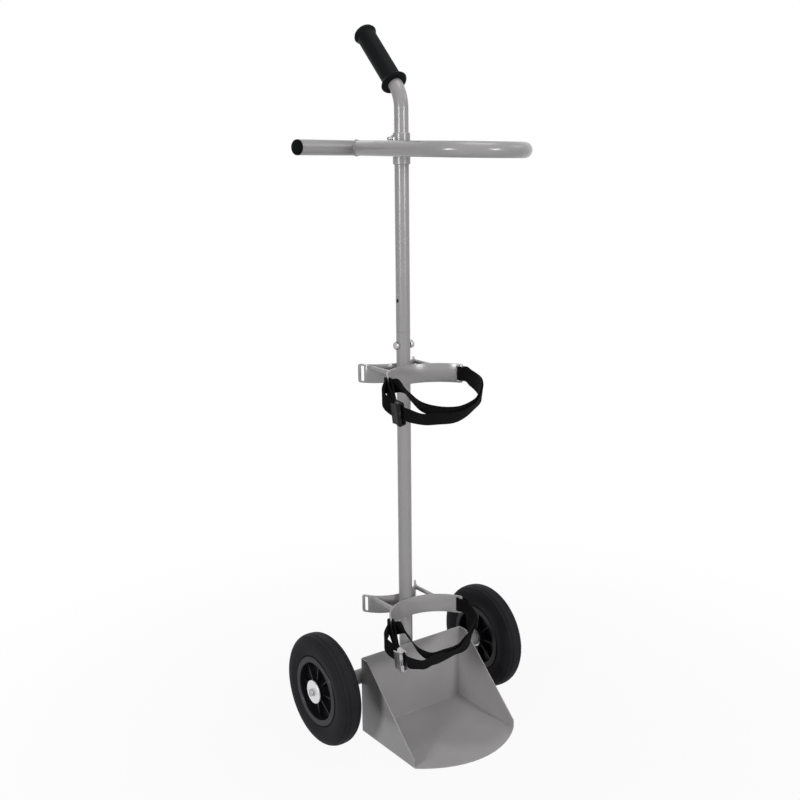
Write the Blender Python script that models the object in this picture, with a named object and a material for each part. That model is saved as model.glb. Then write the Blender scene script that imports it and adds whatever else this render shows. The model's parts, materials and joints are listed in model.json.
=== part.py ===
"""Gas cylinder cart: a column on an axle, a folded tray, strap saddles and a hose hoop.

Metres, +Z up. X runs across the cart, -Y is the front, where the cylinder stands.
The origin is the middle of the tray's underside, on the ground.
"""

import math

import bmesh
import bpy
from mathutils import Matrix, Vector

# Fits
FIT_GAP = 0.0003          # between pieces that touch, seat or slide
BOLT_CLEARANCE = 0.0003   # radial, bolt in a drilled hole

# Tubes
TUBE_OD = 0.025           # column
TUBE_WALL = 0.002
PIPE_OD = 0.0269          # axle tube
SPIGOT_WALL = 0.002

# Tray, folded from sheet
TRAY_WIDTH = 0.230
TRAY_DEPTH = 0.160        # back wall to the front corners
TRAY_NOSE = 0.036         # how far the floor's curved front edge bulges
TRAY_BACK_HEIGHT = 0.145
TRAY_FRONT_HEIGHT = 0.016
TRAY_TOP_LAND = 0.020     # level stretch on top of each side wall
TRAY_SHEET = 0.002
TRAY_FOLD = 0.003         # outer fold radius

# Wheels and axle
WHEEL_DIAMETER = 0.203
TYRE_WIDTH = 0.042
TYRE_GROOVE = 0.0011
WHEEL_TRACK = 0.371
AXLE_ROD_OD = 0.020
RIM_SEAT_RADIUS = 0.058   # where the tyre sits
RIM_FLANGE_RADIUS = 0.063
RIM_DISH_RADIUS = 0.052   # inside of the rim's barrel
RIM_WIDTH = 0.038
RIM_WEB = 0.005
RIM_FLANGE = 0.0045
RIM_RIB = 0.0024
RIM_RIBS = 8
HUB_RADIUS = 0.018
HUB_LENGTH = 0.0405
BUSH_WALL = 0.0024
HUB_WASHER_OD = 0.042
HUB_WASHER_THICKNESS = 0.0025
SPACER_OD = 0.034
SPACER_THICKNESS = 0.0015
AXLE_BOLT_DEPTH = 0.022   # thread in the end of the rod

# Column and handle
COLUMN_SETBACK = 0.004    # column axis behind the axle's
COLUMN_SHOULDER = 0.55    # share of the axle tube's radius where the column's foot stops
COLUMN_JOINT_Z = 0.730
COLUMN_BOLT_DROP = 0.0245  # bolt below the joint
SPIGOT_BELOW = 0.070
SPIGOT_ABOVE = 0.045
SPARE_HOLE_RISE = 0.055
SPARE_HOLE_DIAMETER = 0.0075
BEND_START_Z = 1.110
BEND_RADIUS = 0.058
HANDLE_LEAN = math.radians(45)
GRIP_LENGTH = 0.1305
GRIP_DIAMETER = 0.034
GRIP_COLLAR_DIAMETER = 0.047
GRIP_COLLAR = 0.0088
GRIP_FLANGE_DIAMETER = 0.041
GRIP_FLANGE = 0.010
GRIP_END_WALL = 0.006

# Saddles
SADDLE_HEIGHT = 0.034
SADDLE_SHEET = 0.003
FRONT_SADDLE_RADIUS = 0.0875  # inside, fits the cylinder
REAR_SADDLE_RADIUS = 0.065
SADDLE_HALF_ANGLE = math.radians(66)
SADDLE_CORNER = 0.004
UPPER_SADDLE_Z = 0.654
LOWER_SADDLE_RISE = 0.1125    # middle of the lower saddles above the axle
SLOT_WIDTH = 0.0065
SLOT_HEIGHT = 0.0275
SLOT_CORNER = 0.0012
SLOT_INSET = 0.0085       # slot centre from the strip's end
BRACE_DIAMETER = 0.008
BRACE_SPREAD = 0.048      # brace from the middle of the cart
BRACE_DROP = 0.0055       # brace axis below the saddle's top edge

# Hose hoop
HOOP_Z = 1.0445
SLEEVE_OD = 0.030
SLEEVE_LENGTH = 0.053
SLEEVE_CHAMFER = 0.0012
HOOP_HALF_WIDTH = 0.086   # leg centre line from the middle of the cart
HOOP_REACH = 0.268        # column axis to the front of the hoop's centre line
HOOP_ARM_REACH = 0.2095   # column axis to the arm's open end
HOOP_ARM_SLANT = math.radians(10)
HOOP_BEND_RADIUS = 0.056
HOOP_ROLL = math.radians(1.0)   # the arm's end rides a little high
HOOP_PITCH = math.radians(0.7)  # and the front a little low
PLUG_HEAD = 0.005
PLUG_SHANK = 0.014
CLAMP_RISE = 0.0165       # clamp screw above the hoop
CLAMP_SCREW_OD = 0.006
CLAMP_SCREW_LENGTH = 0.0155
CLAMP_NUT_FLATS = 0.010
CLAMP_NUT_HEIGHT = 0.005
CLAMP_SOCKET_FLATS = 0.003

# Bolts
BOLT_OD = 0.008
BOLT_FLATS = 0.013
BOLT_HEAD = 0.0053
NUT_HEIGHT = 0.0065
BOLT_PROUD = 0.003        # thread past the nut

# Webbing and buckles
STRAP_WIDTH = 0.025
STRAP_THICKNESS = 0.0018
STRAP_LAYER_STEP = 0.0042     # between the two layers along the front
RETURN_DEPTH = 0.0026         # fixed end at the buckle's front, inside the strap's line
HOLDER_DEPTH = 0.0056         # and the holding loop at its rear
STRAP_LEAD = 0.006            # straight length beside the buckle
LEFT_TURN = 0.036             # in front of the saddle's bar, where the left side has its full lean
RIGHT_TURN = 0.060
TURN_START = 0.012
BUCKLE_TURN = 0.017           # beside the buckle, where the return has its full lean
STRAP_STEP = 0.0115           # facets along the webbing
BUCKLE_PITCH = math.radians(5)    # how far the buckle noses down
BUCKLE_ROLL = math.radians(10)    # and leans out at the top
BUCKLE_PLACE = (-0.099, -0.125, -0.034)  # from the column's axis and the middle of the saddle
# How each slack strap hangs: loop past the left bar, strand from the left slot, front from right to left,
# return to the buckle, how far the outer layer sags below the inner, how far the front leans out at the top
UPPER_SLACK = {
    "loop": (-0.1075, -0.088, -0.014),
    "strand": ((-0.0755, -0.093, 0.003), (-0.0725, -0.117, -0.011), (-0.064, -0.138, -0.026),
               (-0.047, -0.158, -0.033)),
    "front": ((0.080, -0.090, -0.003), (0.073, -0.120, -0.0095), (0.060, -0.143, -0.0175),
              (0.038, -0.160, -0.0245), (0.011, -0.172, -0.031), (-0.020, -0.175, -0.0355)),
    "return": ((-0.052, -0.171, -0.0425), (-0.080, -0.160, -0.041)),
    "drop": 0.007,
    "lean": math.radians(32),
}
LOWER_SLACK = {
    "loop": (-0.110, -0.088, -0.012),
    "strand": ((-0.0745, -0.092, 0.006), (-0.071, -0.112, -0.011), (-0.062, -0.127, -0.028),
               (-0.046, -0.138, -0.039)),
    "front": ((0.082, -0.086, -0.006), (0.076, -0.103, -0.020), (0.061, -0.119, -0.032),
              (0.038, -0.131, -0.039), (0.009, -0.138, -0.041), (-0.022, -0.143, -0.0395)),
    "return": ((-0.052, -0.154, -0.0375), (-0.080, -0.158, -0.037)),
    "drop": 0.001,
    "lean": math.radians(64),
}
BUCKLE_LENGTH = 0.020
BUCKLE_WIDTH = 0.040
BUCKLE_SHEET = 0.0016
BUCKLE_DEPTH = 0.012
BUCKLE_PIN_OD = 0.0034
BUCKLE_PIN_HEAD = 0.006
PIN_PLACE = 0.0055        # from the frame's front end
BUCKLE_PIN_HEAD_THICKNESS = 0.0012
LEVER_BARREL = 0.0046
LEVER_FLAP = 0.0145
LEVER_SHEET = 0.0022
LEVER_LIFT = math.radians(6)
LEVER_HOLE = 0.0028
LEVER_NOTCH = 0.011       # room for the spring
SPRING_WIRE = 0.0011
SPRING_TURNS = 3
SPRING_FACETS = 9         # per turn

# Facets
ROUND = 20
HOOP_FACETS = 16
WHEEL_FACETS = 36
BEND_STEPS = 8

# Derived places
AXLE_Z = WHEEL_DIAMETER / 2
LOWER_SADDLE_Z = AXLE_Z + LOWER_SADDLE_RISE
AXLE_Y = TRAY_DEPTH / 2 + FIT_GAP + PIPE_OD / 2
COLUMN_Y = AXLE_Y + COLUMN_SETBACK
TUBE_R = TUBE_OD / 2
TUBE_BORE_R = TUBE_R - TUBE_WALL
PIPE_R = PIPE_OD / 2
WHEEL_X = WHEEL_TRACK / 2
HUB_HALF = HUB_LENGTH / 2
AXLE_ROD_HALF = WHEEL_X + HUB_HALF + FIT_GAP
AXLE_TUBE_HALF = WHEEL_X - HUB_HALF - SPACER_THICKNESS - 2 * FIT_GAP
COLUMN_BOLT_Z = COLUMN_JOINT_Z - COLUMN_BOLT_DROP
FRONT_CENTRE_Y = -TUBE_R - FIT_GAP - SADDLE_SHEET - FRONT_SADDLE_RADIUS
REAR_CENTRE_Y = TUBE_R + FIT_GAP + SADDLE_SHEET + REAR_SADDLE_RADIUS
STRAP_HALF = STRAP_THICKNESS / 2


def clear_scene():
    for old in list(bpy.data.objects):
        bpy.data.objects.remove(old, do_unlink=True)


def paint(name, colour, roughness, metallic):
    material = bpy.data.materials.new(name)
    material.use_nodes = True
    shader = material.node_tree.nodes["Principled BSDF"]
    shader.inputs["Base Color"].default_value = (*colour, 1.0)
    shader.inputs["Roughness"].default_value = roughness
    shader.inputs["Metallic"].default_value = metallic
    return material


def add_object(name, bm, material, matrix=None):
    """Turn a bmesh into a named object under the cart's root."""
    bmesh.ops.recalc_face_normals(bm, faces=bm.faces)
    mesh = bpy.data.meshes.new(name)
    bm.to_mesh(mesh)
    bm.free()
    mesh.shade_smooth()
    mesh.set_sharp_from_angle(angle=math.radians(35))
    if material:
        mesh.materials.append(material)
    obj = bpy.data.objects.new(name, mesh)
    bpy.context.scene.collection.objects.link(obj)
    obj.parent = cart
    if matrix is not None:
        obj.matrix_local = matrix
    return obj


def cutter(name, bm, matrix=None):
    obj = add_object(name, bm, None, matrix)
    obj.hide_render = True
    obj.display_type = "WIRE"
    return obj


def boolean(target, tool, operation="DIFFERENCE"):
    change = target.modifiers.new(operation.title() + " " + tool.name, "BOOLEAN")
    change.operation = operation
    change.solver = "EXACT"
    change.object = tool


def turned(profile, facets=ROUND, closed=True):
    """Spin (radius, height) points about Z."""
    bm = bmesh.new()
    verts = [bm.verts.new((r, 0.0, z)) for r, z in profile]
    pairs = list(zip(verts, verts[1:]))
    if closed:
        pairs.append((verts[-1], verts[0]))
    edges = [bm.edges.new(pair) for pair in pairs]
    bmesh.ops.spin(bm, geom=verts + edges, axis=(0, 0, 1), cent=(0, 0, 0), angle=math.tau,
                   steps=facets, use_merge=True)
    bmesh.ops.remove_doubles(bm, verts=bm.verts, dist=1e-6)
    return bm


def prism(outline, low, high):
    """Extrude an (x, y) outline from z = low to z = high."""
    bm = bmesh.new()
    face = bm.faces.new([bm.verts.new((x, y, low)) for x, y in outline])
    top = bmesh.ops.extrude_face_region(bm, geom=[face])["geom"]
    bmesh.ops.translate(bm, verts=[v for v in top if isinstance(v, bmesh.types.BMVert)],
                        vec=(0, 0, high - low))
    return bm


def circle(radius, facets=ROUND, centre=(0.0, 0.0)):
    return [(centre[0] + radius * math.cos(math.tau * i / facets),
             centre[1] + radius * math.sin(math.tau * i / facets)) for i in range(facets)]


def hexagon(flats):
    return circle(flats / math.sqrt(3), 6)


def rounded_box(width, height, corner, steps=4):
    """Outline of a rectangle with round corners, centred."""
    points = []
    for quarter, (sx, sy) in enumerate(((1, 1), (-1, 1), (-1, -1), (1, -1))):
        for i in range(steps + 1):
            angle = math.pi / 2 * (quarter + i / steps)
            points.append((sx * (width / 2 - corner) + corner * math.cos(angle),
                           sy * (height / 2 - corner) + corner * math.sin(angle)))
    return points


def along_x(x, y, z, outward=1):
    """Place a piece turned about Z with its axis on X, its +Z end towards outward."""
    return Matrix.Translation((x, y, z)) @ Matrix.Rotation(outward * math.pi / 2, 4, "Y")


def arc(centre, radius, start, end, steps):
    """Points in plan, angles from +X towards +Y."""
    return [Vector((centre[0] + radius * math.cos(start + (end - start) * i / steps),
                    centre[1] + radius * math.sin(start + (end - start) * i / steps), 0.0))
            for i in range(steps + 1)]


def smooth_route(points, step):
    """Centripetal Catmull-Rom points through a list of vectors, about one step apart."""
    ends = [2 * points[0] - points[1]] + list(points) + [2 * points[-1] - points[-2]]
    route = []
    for a, b, c, d in zip(ends, ends[1:], ends[2:], ends[3:]):
        ta = 0.0
        tb = ta + math.sqrt((b - a).length)
        tc = tb + math.sqrt((c - b).length)
        td = tc + math.sqrt((d - c).length)
        count = max(1, round((c - b).length / step))
        for i in range(count):
            t = tb + (tc - tb) * i / count
            ab = a.lerp(b, (t - ta) / (tb - ta))
            bc = b.lerp(c, (t - tb) / (tc - tb))
            cd = c.lerp(d, (t - tc) / (td - tc))
            abc = ab.lerp(bc, (t - ta) / (tc - ta))
            bcd = bc.lerp(cd, (t - tb) / (td - tb))
            route.append(abc.lerp(bcd, (t - tb) / (tc - tb)))
    route.append(points[-1].copy())
    return route


def tangents(path):
    steps = [(b - a).normalized() for a, b in zip(path, path[1:])]
    inner = [(a + b).normalized() for a, b in zip(steps, steps[1:])]
    return [steps[0]] + inner + [steps[-1]]


def skin(bm, rings, end_faces=True):
    """Join rings of vertices into a closed sweep."""
    count = len(rings[0])
    for a, b in zip(rings, rings[1:]):
        for i in range(count):
            j = (i + 1) % count
            bm.faces.new((a[i], a[j], b[j], b[i]))
    if end_faces:
        bm.faces.new(list(reversed(rings[0])))
        bm.faces.new(rings[-1])


def sweep_rings(bm, path, radius, facets, start_cope=None, end_cope=None):
    """Rings of a round section carried along a path without twist."""
    directions = tangents(path)
    side = directions[0].orthogonal().normalized()
    rings = []
    for index, (point, tangent) in enumerate(zip(path, directions)):
        side = (side - side.dot(tangent) * tangent).normalized()
        other = tangent.cross(side)
        stretch = 1.0
        if 0 < index < len(path) - 1:
            stretch = 1.0 / max(0.5, tangent.dot((path[index + 1] - point).normalized()))
        places = []
        for i in range(facets):
            angle = math.tau * i / facets
            offset = radius * (math.cos(angle) * side + math.sin(angle) * other)
            places.append(point + offset * stretch)
        if index == 0 and start_cope:
            places = [start_cope(place) for place in places]
        if index == len(path) - 1 and end_cope:
            places = [end_cope(place) for place in places]
        rings.append([bm.verts.new(place) for place in places])
    return rings


def tube(path, outer, inner, facets=ROUND, start_cope=None, end_cope=None):
    """Hollow tube along a path, with plain or coped ends."""
    bm = bmesh.new()
    shells = []
    for radius in (outer, inner):
        shells.append(sweep_rings(bm, path, radius, facets, start_cope, end_cope))
        skin(bm, shells[-1], end_faces=False)
    for end in (0, -1):
        for i in range(facets):
            j = (i + 1) % facets
            bm.faces.new((shells[0][end][i], shells[0][end][j], shells[1][end][j], shells[1][end][i]))
    return bm


def rod(path, radius, facets=ROUND, start_cope=None, end_cope=None):
    bm = bmesh.new()
    skin(bm, sweep_rings(bm, path, radius, facets, start_cope, end_cope))
    return bm


def make_tray():
    """Sheet folded up on three sides. The front of the floor is an arc."""
    half = TRAY_WIDTH / 2
    back = TRAY_DEPTH / 2
    front = -back
    nose_radius = (half ** 2 + TRAY_NOSE ** 2) / (2 * TRAY_NOSE)
    nose_centre = front - TRAY_NOSE + nose_radius
    sweep = math.asin(half / nose_radius)
    steps = 14
    bm = bmesh.new()
    nose = []
    for i in range(steps + 1):
        angle = -sweep + 2 * sweep * i / steps
        nose.append(bm.verts.new((nose_radius * math.sin(angle), nose_centre - nose_radius * math.cos(angle), 0)))
    back_left = bm.verts.new((-half, back, 0))
    back_right = bm.verts.new((half, back, 0))
    top_left = bm.verts.new((-half, back, TRAY_BACK_HEIGHT))
    top_right = bm.verts.new((half, back, TRAY_BACK_HEIGHT))
    bm.faces.new(nose + [back_right, back_left])
    bm.faces.new((back_left, back_right, top_right, top_left))
    sides = ((back_left, top_left, nose[0], -half), (back_right, top_right, nose[-1], half))
    for low, high, corner, side in sides:
        land = bm.verts.new((side, back - TRAY_TOP_LAND, TRAY_BACK_HEIGHT))
        lip = bm.verts.new((side, front, TRAY_FRONT_HEIGHT))
        bm.faces.new((low, high, land, lip, corner))
    bmesh.ops.recalc_face_normals(bm, faces=bm.faces)
    floor = min(bm.faces, key=lambda f: f.calc_center_median().z)
    if floor.normal.z > 0:
        bmesh.ops.reverse_faces(bm, faces=bm.faces)
    folds = [e for e in bm.edges if len(e.link_faces) == 2]
    bmesh.ops.bevel(bm, geom=folds, offset=TRAY_FOLD, segments=3, affect="EDGES", profile=0.5)
    mesh = bpy.data.meshes.new("tray")
    bm.to_mesh(mesh)
    bm.free()
    mesh.materials.append(painted_steel)
    tray = bpy.data.objects.new("tray", mesh)
    bpy.context.scene.collection.objects.link(tray)
    tray.parent = cart
    wall = tray.modifiers.new("Sheet", "SOLIDIFY")
    wall.thickness = TRAY_SHEET
    wall.offset = -1
    wall.use_even_offset = True
    wall.use_quality_normals = True


def make_axle():
    ends = [Vector((-AXLE_TUBE_HALF, AXLE_Y, AXLE_Z)), Vector((AXLE_TUBE_HALF, AXLE_Y, AXLE_Z))]
    add_object("axle_tube", tube(ends, PIPE_R, AXLE_ROD_OD / 2 + FIT_GAP), painted_steel)
    hole_r = BOLT_OD / 2 + BOLT_CLEARANCE
    floor = AXLE_ROD_HALF - AXLE_BOLT_DEPTH
    rod_r = AXLE_ROD_OD / 2
    profile = [(0, -floor), (hole_r, -floor), (hole_r, -AXLE_ROD_HALF), (rod_r, -AXLE_ROD_HALF),
               (rod_r, AXLE_ROD_HALF), (hole_r, AXLE_ROD_HALF), (hole_r, floor), (0, floor)]
    add_object("axle_rod", turned(profile, closed=False), zinc, along_x(0, AXLE_Y, AXLE_Z))


def tyre_profile():
    """Round-shouldered section with shallow grooves round the tread."""
    outer = WHEEL_DIAMETER / 2
    half = TYRE_WIDTH / 2
    belt = RIM_FLANGE_RADIUS + 0.4 * (outer - RIM_FLANGE_RADIUS)
    power = 2 / 2.6
    points = []

    def section(angle):
        across = math.copysign(abs(math.sin(angle)) ** power, angle)
        return belt + (outer - belt) * math.cos(angle) ** power, half * across

    grooves = [math.radians(d) for d in (-40, -16, 16, 40)]
    width = math.radians(3.2)
    plain = [math.radians(d) for d in (-90, -70, -54, -28, 0, 28, 54, 70, 90)]
    stations = [(a, 0.0) for a in plain]
    for g in grooves:
        stations += [(g - width, 0.0), (g, TYRE_GROOVE), (g + width, 0.0)]
    for angle, depth in sorted(stations):
        r, z = section(angle)
        points.append((r - depth, z))
    seat = RIM_SEAT_RADIUS + FIT_GAP
    bead = RIM_FLANGE_RADIUS + FIT_GAP
    bead_half = RIM_WIDTH / 2 - RIM_FLANGE - FIT_GAP
    waist = (bead + 0.0015, RIM_WIDTH / 2 - 0.001)
    points += [waist, (bead, bead_half), (seat, bead_half), (seat, -bead_half), (bead, -bead_half),
               (waist[0], -waist[1])]
    return points


def rim_profile():
    """Barrel, web and hub in one section."""
    half = RIM_WIDTH / 2
    web = RIM_WEB / 2
    bore = AXLE_ROD_OD / 2 + 2 * FIT_GAP + BUSH_WALL
    draft = 0.0015
    side = [(bore, HUB_HALF), (HUB_RADIUS - 0.001, HUB_HALF), (HUB_RADIUS, HUB_HALF - 0.001),
            (HUB_RADIUS + draft, web), (RIM_DISH_RADIUS - draft, web), (RIM_DISH_RADIUS, half - 0.001),
            (RIM_DISH_RADIUS + 0.001, half), (RIM_FLANGE_RADIUS - 0.001, half),
            (RIM_FLANGE_RADIUS, half - 0.001), (RIM_FLANGE_RADIUS, half - RIM_FLANGE),
            (RIM_SEAT_RADIUS, half - RIM_FLANGE)]
    return side + [(r, -z) for r, z in reversed(side)]


def rim_ribs():
    """Thin radial ribs on both faces of the web."""
    inner = HUB_RADIUS - 0.002
    outer = RIM_DISH_RADIUS + 0.002
    tall = RIM_WIDTH / 2 - 0.004
    low = RIM_WIDTH / 2 - 0.009
    outline = [(inner, -tall), (outer, -low), (outer, low), (inner, tall)]
    ribs = []
    for i in range(RIM_RIBS):
        rib = prism(outline, -RIM_RIB / 2, RIM_RIB / 2)
        upright = Matrix.Rotation(math.pi / 2, 4, "X")
        turn = Matrix.Rotation(math.tau * i / RIM_RIBS, 4, "Z")
        bmesh.ops.transform(rib, matrix=turn @ upright, verts=rib.verts)
        ribs.append(rib)
    return ribs


def make_wheel(side_name, side):
    place = along_x(side * WHEEL_X, AXLE_Y, AXLE_Z, side)
    add_object(side_name + "_tyre", turned(tyre_profile(), WHEEL_FACETS), tyre_rubber, place)
    rim = add_object(side_name + "_rim", turned(rim_profile(), WHEEL_FACETS), black_plastic, place)
    for number, rib in enumerate(rim_ribs()):
        boolean(rim, cutter(f"{side_name}_rim_rib_{number}", rib, place), "UNION")
    bush_in = AXLE_ROD_OD / 2 + FIT_GAP
    bush_out = bush_in + BUSH_WALL
    add_object(side_name + "_hub_bush",
               turned([(bush_in, -HUB_HALF), (bush_out, -HUB_HALF), (bush_out, HUB_HALF), (bush_in, HUB_HALF)]),
               pale_plastic, place)
    spacer_low = -HUB_HALF - FIT_GAP - SPACER_THICKNESS
    spacer_high = -HUB_HALF - FIT_GAP
    add_object(side_name + "_spacer_washer",
               turned([(bush_in, spacer_low), (SPACER_OD / 2, spacer_low), (SPACER_OD / 2, spacer_high),
                       (bush_in, spacer_high)]), zinc, place)
    washer_low = HUB_HALF + 2 * FIT_GAP
    washer_high = washer_low + HUB_WASHER_THICKNESS
    washer_r = HUB_WASHER_OD / 2
    hole = BOLT_OD / 2 + BOLT_CLEARANCE
    edge = 0.0008
    add_object(side_name + "_hub_washer",
               turned([(hole, washer_low), (washer_r, washer_low), (washer_r, washer_high - edge),
                       (washer_r - edge, washer_high), (hole, washer_high)]), zinc, place)
    make_bolt(side_name + "_axle_bolt", place @ Matrix.Translation((0, 0, washer_high + FIT_GAP)),
              AXLE_BOLT_DEPTH - 0.002 + HUB_WASHER_THICKNESS)


def make_bolt(name, place, shank):
    """Hex bolt, head on +Z, shank down from the head's seat. The head's top is turned to a low cone."""
    r = BOLT_OD / 2
    head = prism(hexagon(BOLT_FLATS), 0, BOLT_HEAD)
    bolt = add_object(name, head, zinc, place)
    crown = turned([(0, -0.001), (BOLT_FLATS, -0.001), (BOLT_FLATS, BOLT_HEAD - 0.0045),
                    (BOLT_FLATS / 2 - 0.0007, BOLT_HEAD), (0, BOLT_HEAD)], closed=False)
    boolean(bolt, cutter(name + "_crown", crown, place), "INTERSECT")
    stem = turned([(0, -shank), (r - 0.0008, -shank), (r, -shank + 0.0008), (r, BOLT_HEAD / 2), (0, BOLT_HEAD / 2)],
                  closed=False)
    boolean(bolt, cutter(name + "_stem", stem, place), "UNION")
    return bolt


def make_nut(name, place, flats, height, bore):
    """Hex nut on its +Z axis, from z = 0."""
    nut = add_object(name, prism(hexagon(flats), 0, height), zinc, place)
    hole = prism(circle(bore, 20), -0.001, height + 0.001)
    boolean(nut, cutter(name + "_bore", hole, place))
    return nut


def axle_cope(place):
    """Lower a point of the column's foot on to the axle tube, no further than its shoulder."""
    reach = PIPE_R + 2 * FIT_GAP
    offset = place.y - AXLE_Y
    drop = math.sqrt(max(0.0, reach ** 2 - offset ** 2))
    return Vector((place.x, place.y, AXLE_Z + max(drop, COLUMN_SHOULDER * PIPE_R)))


def make_column():
    foot = Vector((0, COLUMN_Y, AXLE_Z))
    joint = Vector((0, COLUMN_Y, COLUMN_JOINT_Z))
    coped = tube([foot, joint], TUBE_R, TUBE_BORE_R, start_cope=axle_cope)
    lower = add_object("lower_column", coped, painted_steel)

    start = Vector((0, COLUMN_Y, BEND_START_Z))
    path = [joint + Vector((0, 0, FIT_GAP)), start]
    for i in range(1, BEND_STEPS + 1):
        angle = HANDLE_LEAN * i / BEND_STEPS
        path.append(start + BEND_RADIUS * Vector((0, 1 - math.cos(angle), math.sin(angle))))
    lean = Vector((0, math.sin(HANDLE_LEAN), math.cos(HANDLE_LEAN)))
    grip_foot = path[-1].copy()
    path.append(grip_foot + (GRIP_LENGTH - GRIP_END_WALL - FIT_GAP) * lean)
    upper = add_object("upper_column", tube(path, TUBE_R, TUBE_BORE_R), painted_steel)
    spare_z = COLUMN_JOINT_Z + SPARE_HOLE_RISE
    spare = prism(circle(SPARE_HOLE_DIAMETER / 2, 16), 0, TUBE_OD)
    boolean(upper, cutter("spare_hole", spare, along_x(0, COLUMN_Y, spare_z, -1)))

    spigot_r = TUBE_BORE_R - FIT_GAP
    spigot_ends = [joint - Vector((0, 0, SPIGOT_BELOW)), joint + Vector((0, 0, SPIGOT_ABOVE))]
    spigot = add_object("column_spigot", tube(spigot_ends, spigot_r, spigot_r - SPIGOT_WALL), painted_steel)
    bolt_hole = prism(circle(BOLT_OD / 2 + BOLT_CLEARANCE, 20), -TUBE_OD, TUBE_OD)
    drill = cutter("column_bolt_hole", bolt_hole, along_x(0, COLUMN_Y, COLUMN_BOLT_Z))
    boolean(lower, drill)
    boolean(spigot, drill)

    seat = TUBE_R + FIT_GAP
    shank = 2 * seat + NUT_HEIGHT + BOLT_PROUD
    make_bolt("column_bolt", along_x(-seat, COLUMN_Y, COLUMN_BOLT_Z, -1), shank)
    make_nut("column_nut", along_x(seat, COLUMN_Y, COLUMN_BOLT_Z), BOLT_FLATS, NUT_HEIGHT,
             BOLT_OD / 2 + BOLT_CLEARANCE)
    make_grip(grip_foot)


def make_grip(foot):
    """Rubber grip: thick rounded collar below, slim rounded flange at the closed end."""
    bore = TUBE_R + FIT_GAP
    body = GRIP_DIAMETER / 2
    collar = GRIP_COLLAR_DIAMETER / 2
    flange = GRIP_FLANGE_DIAMETER / 2
    top = GRIP_LENGTH
    inside = top - GRIP_END_WALL
    profile = [(0, inside), (bore, inside), (bore, 0), (collar - 0.004, 0), (collar - 0.001, 0.002),
               (collar, GRIP_COLLAR / 2), (collar - 0.0015, GRIP_COLLAR - 0.002), (collar - 0.004, GRIP_COLLAR),
               (body, GRIP_COLLAR + 0.002), (body, top - GRIP_FLANGE - 0.003), (flange - 0.001, top - GRIP_FLANGE),
               (flange, top - GRIP_FLANGE + 0.003), (flange - 0.002, top - 0.003), (flange - 0.006, top - 0.0008),
               (0, top)]
    place = Matrix.Translation(foot) @ Matrix.Rotation(-HANDLE_LEAN, 4, "X")
    grip = turned(profile, closed=False)
    add_object("handle_grip", grip, grip_rubber, place)


def saddle_place(centre_y, facing, radius, angle):
    """A point in plan on a saddle; the angle is measured from the column, facing is -1 for the front."""
    return Vector((radius * math.sin(angle), COLUMN_Y + centre_y - facing * radius * math.cos(angle), 0))


def make_saddle(name, middle_z, inner, centre_y, facing):
    """Strip bent to an arc, with rounded ends and a strap slot near each end."""
    steps = 18
    bm = bmesh.new()
    rings = []
    for i in range(steps + 1):
        angle = SADDLE_HALF_ANGLE * (2 * i / steps - 1)
        ring = []
        for radius, dz in ((inner, -1), (inner + SADDLE_SHEET, -1), (inner + SADDLE_SHEET, 1), (inner, 1)):
            place = saddle_place(centre_y, facing, radius, angle)
            ring.append(bm.verts.new((place.x, place.y, middle_z + dz * SADDLE_HEIGHT / 2)))
        rings.append(ring)
    skin(bm, rings)
    corners = []
    for ring in (rings[0], rings[-1]):
        for a, b in ((0, 1), (2, 3)):
            corners.append(bm.edges.get((ring[a], ring[b])))
    bmesh.ops.bevel(bm, geom=corners, offset=SADDLE_CORNER, segments=3, affect="EDGES", profile=0.5)
    saddle = add_object(name, bm, painted_steel)
    slot_angle = SADDLE_HALF_ANGLE - SLOT_INSET / (inner + SADDLE_SHEET / 2)
    for side in (-1, 1):
        centre = saddle_place(centre_y, facing, inner + SADDLE_SHEET / 2, side * slot_angle)
        slot = prism(rounded_box(SLOT_WIDTH, SLOT_HEIGHT, SLOT_CORNER, 2), -SADDLE_SHEET, SADDLE_SHEET)
        outward = (saddle_place(centre_y, facing, inner, side * slot_angle)
                   - saddle_place(centre_y, facing, 0, 0)).normalized()
        across = Vector((0, 0, 1)).cross(outward)
        turn = Matrix((across, Vector((0, 0, 1)), outward)).transposed().to_4x4()
        place = Matrix.Translation(centre + Vector((0, 0, middle_z))) @ turn
        boolean(saddle, cutter(f"{name}_slot_{side}", slot, place))


def make_braces(level, middle_z):
    """Round rods from the rear saddle's back to the front saddle's back."""
    z = middle_z + SADDLE_HEIGHT / 2 - BRACE_DROP

    def cope(centre_y, inner, towards):
        reach = inner + SADDLE_SHEET + FIT_GAP

        def seat(place):
            drop = math.sqrt(reach ** 2 - place.x ** 2)
            return Vector((place.x, COLUMN_Y + centre_y + towards * drop, place.z))
        return seat

    for side_name, side in (("left", -1), ("right", 1)):
        x = side * BRACE_SPREAD
        ends = [Vector((x, COLUMN_Y - TUBE_OD, z)), Vector((x, COLUMN_Y + TUBE_OD, z))]
        bm = rod(ends, BRACE_DIAMETER / 2, 16, cope(FRONT_CENTRE_Y, FRONT_SADDLE_RADIUS, 1),
                 cope(REAR_CENTRE_Y, REAR_SADDLE_RADIUS, -1))
        add_object(f"{level}_brace_{side_name}", bm, painted_steel)


def hoop_arm_y(x):
    """Centre line of the arm, behind the sleeve, measured from the column's axis."""
    touch = SLEEVE_OD / 2 + FIT_GAP + TUBE_R
    return touch / math.cos(HOOP_ARM_SLANT) + x * math.tan(HOOP_ARM_SLANT)


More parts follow.
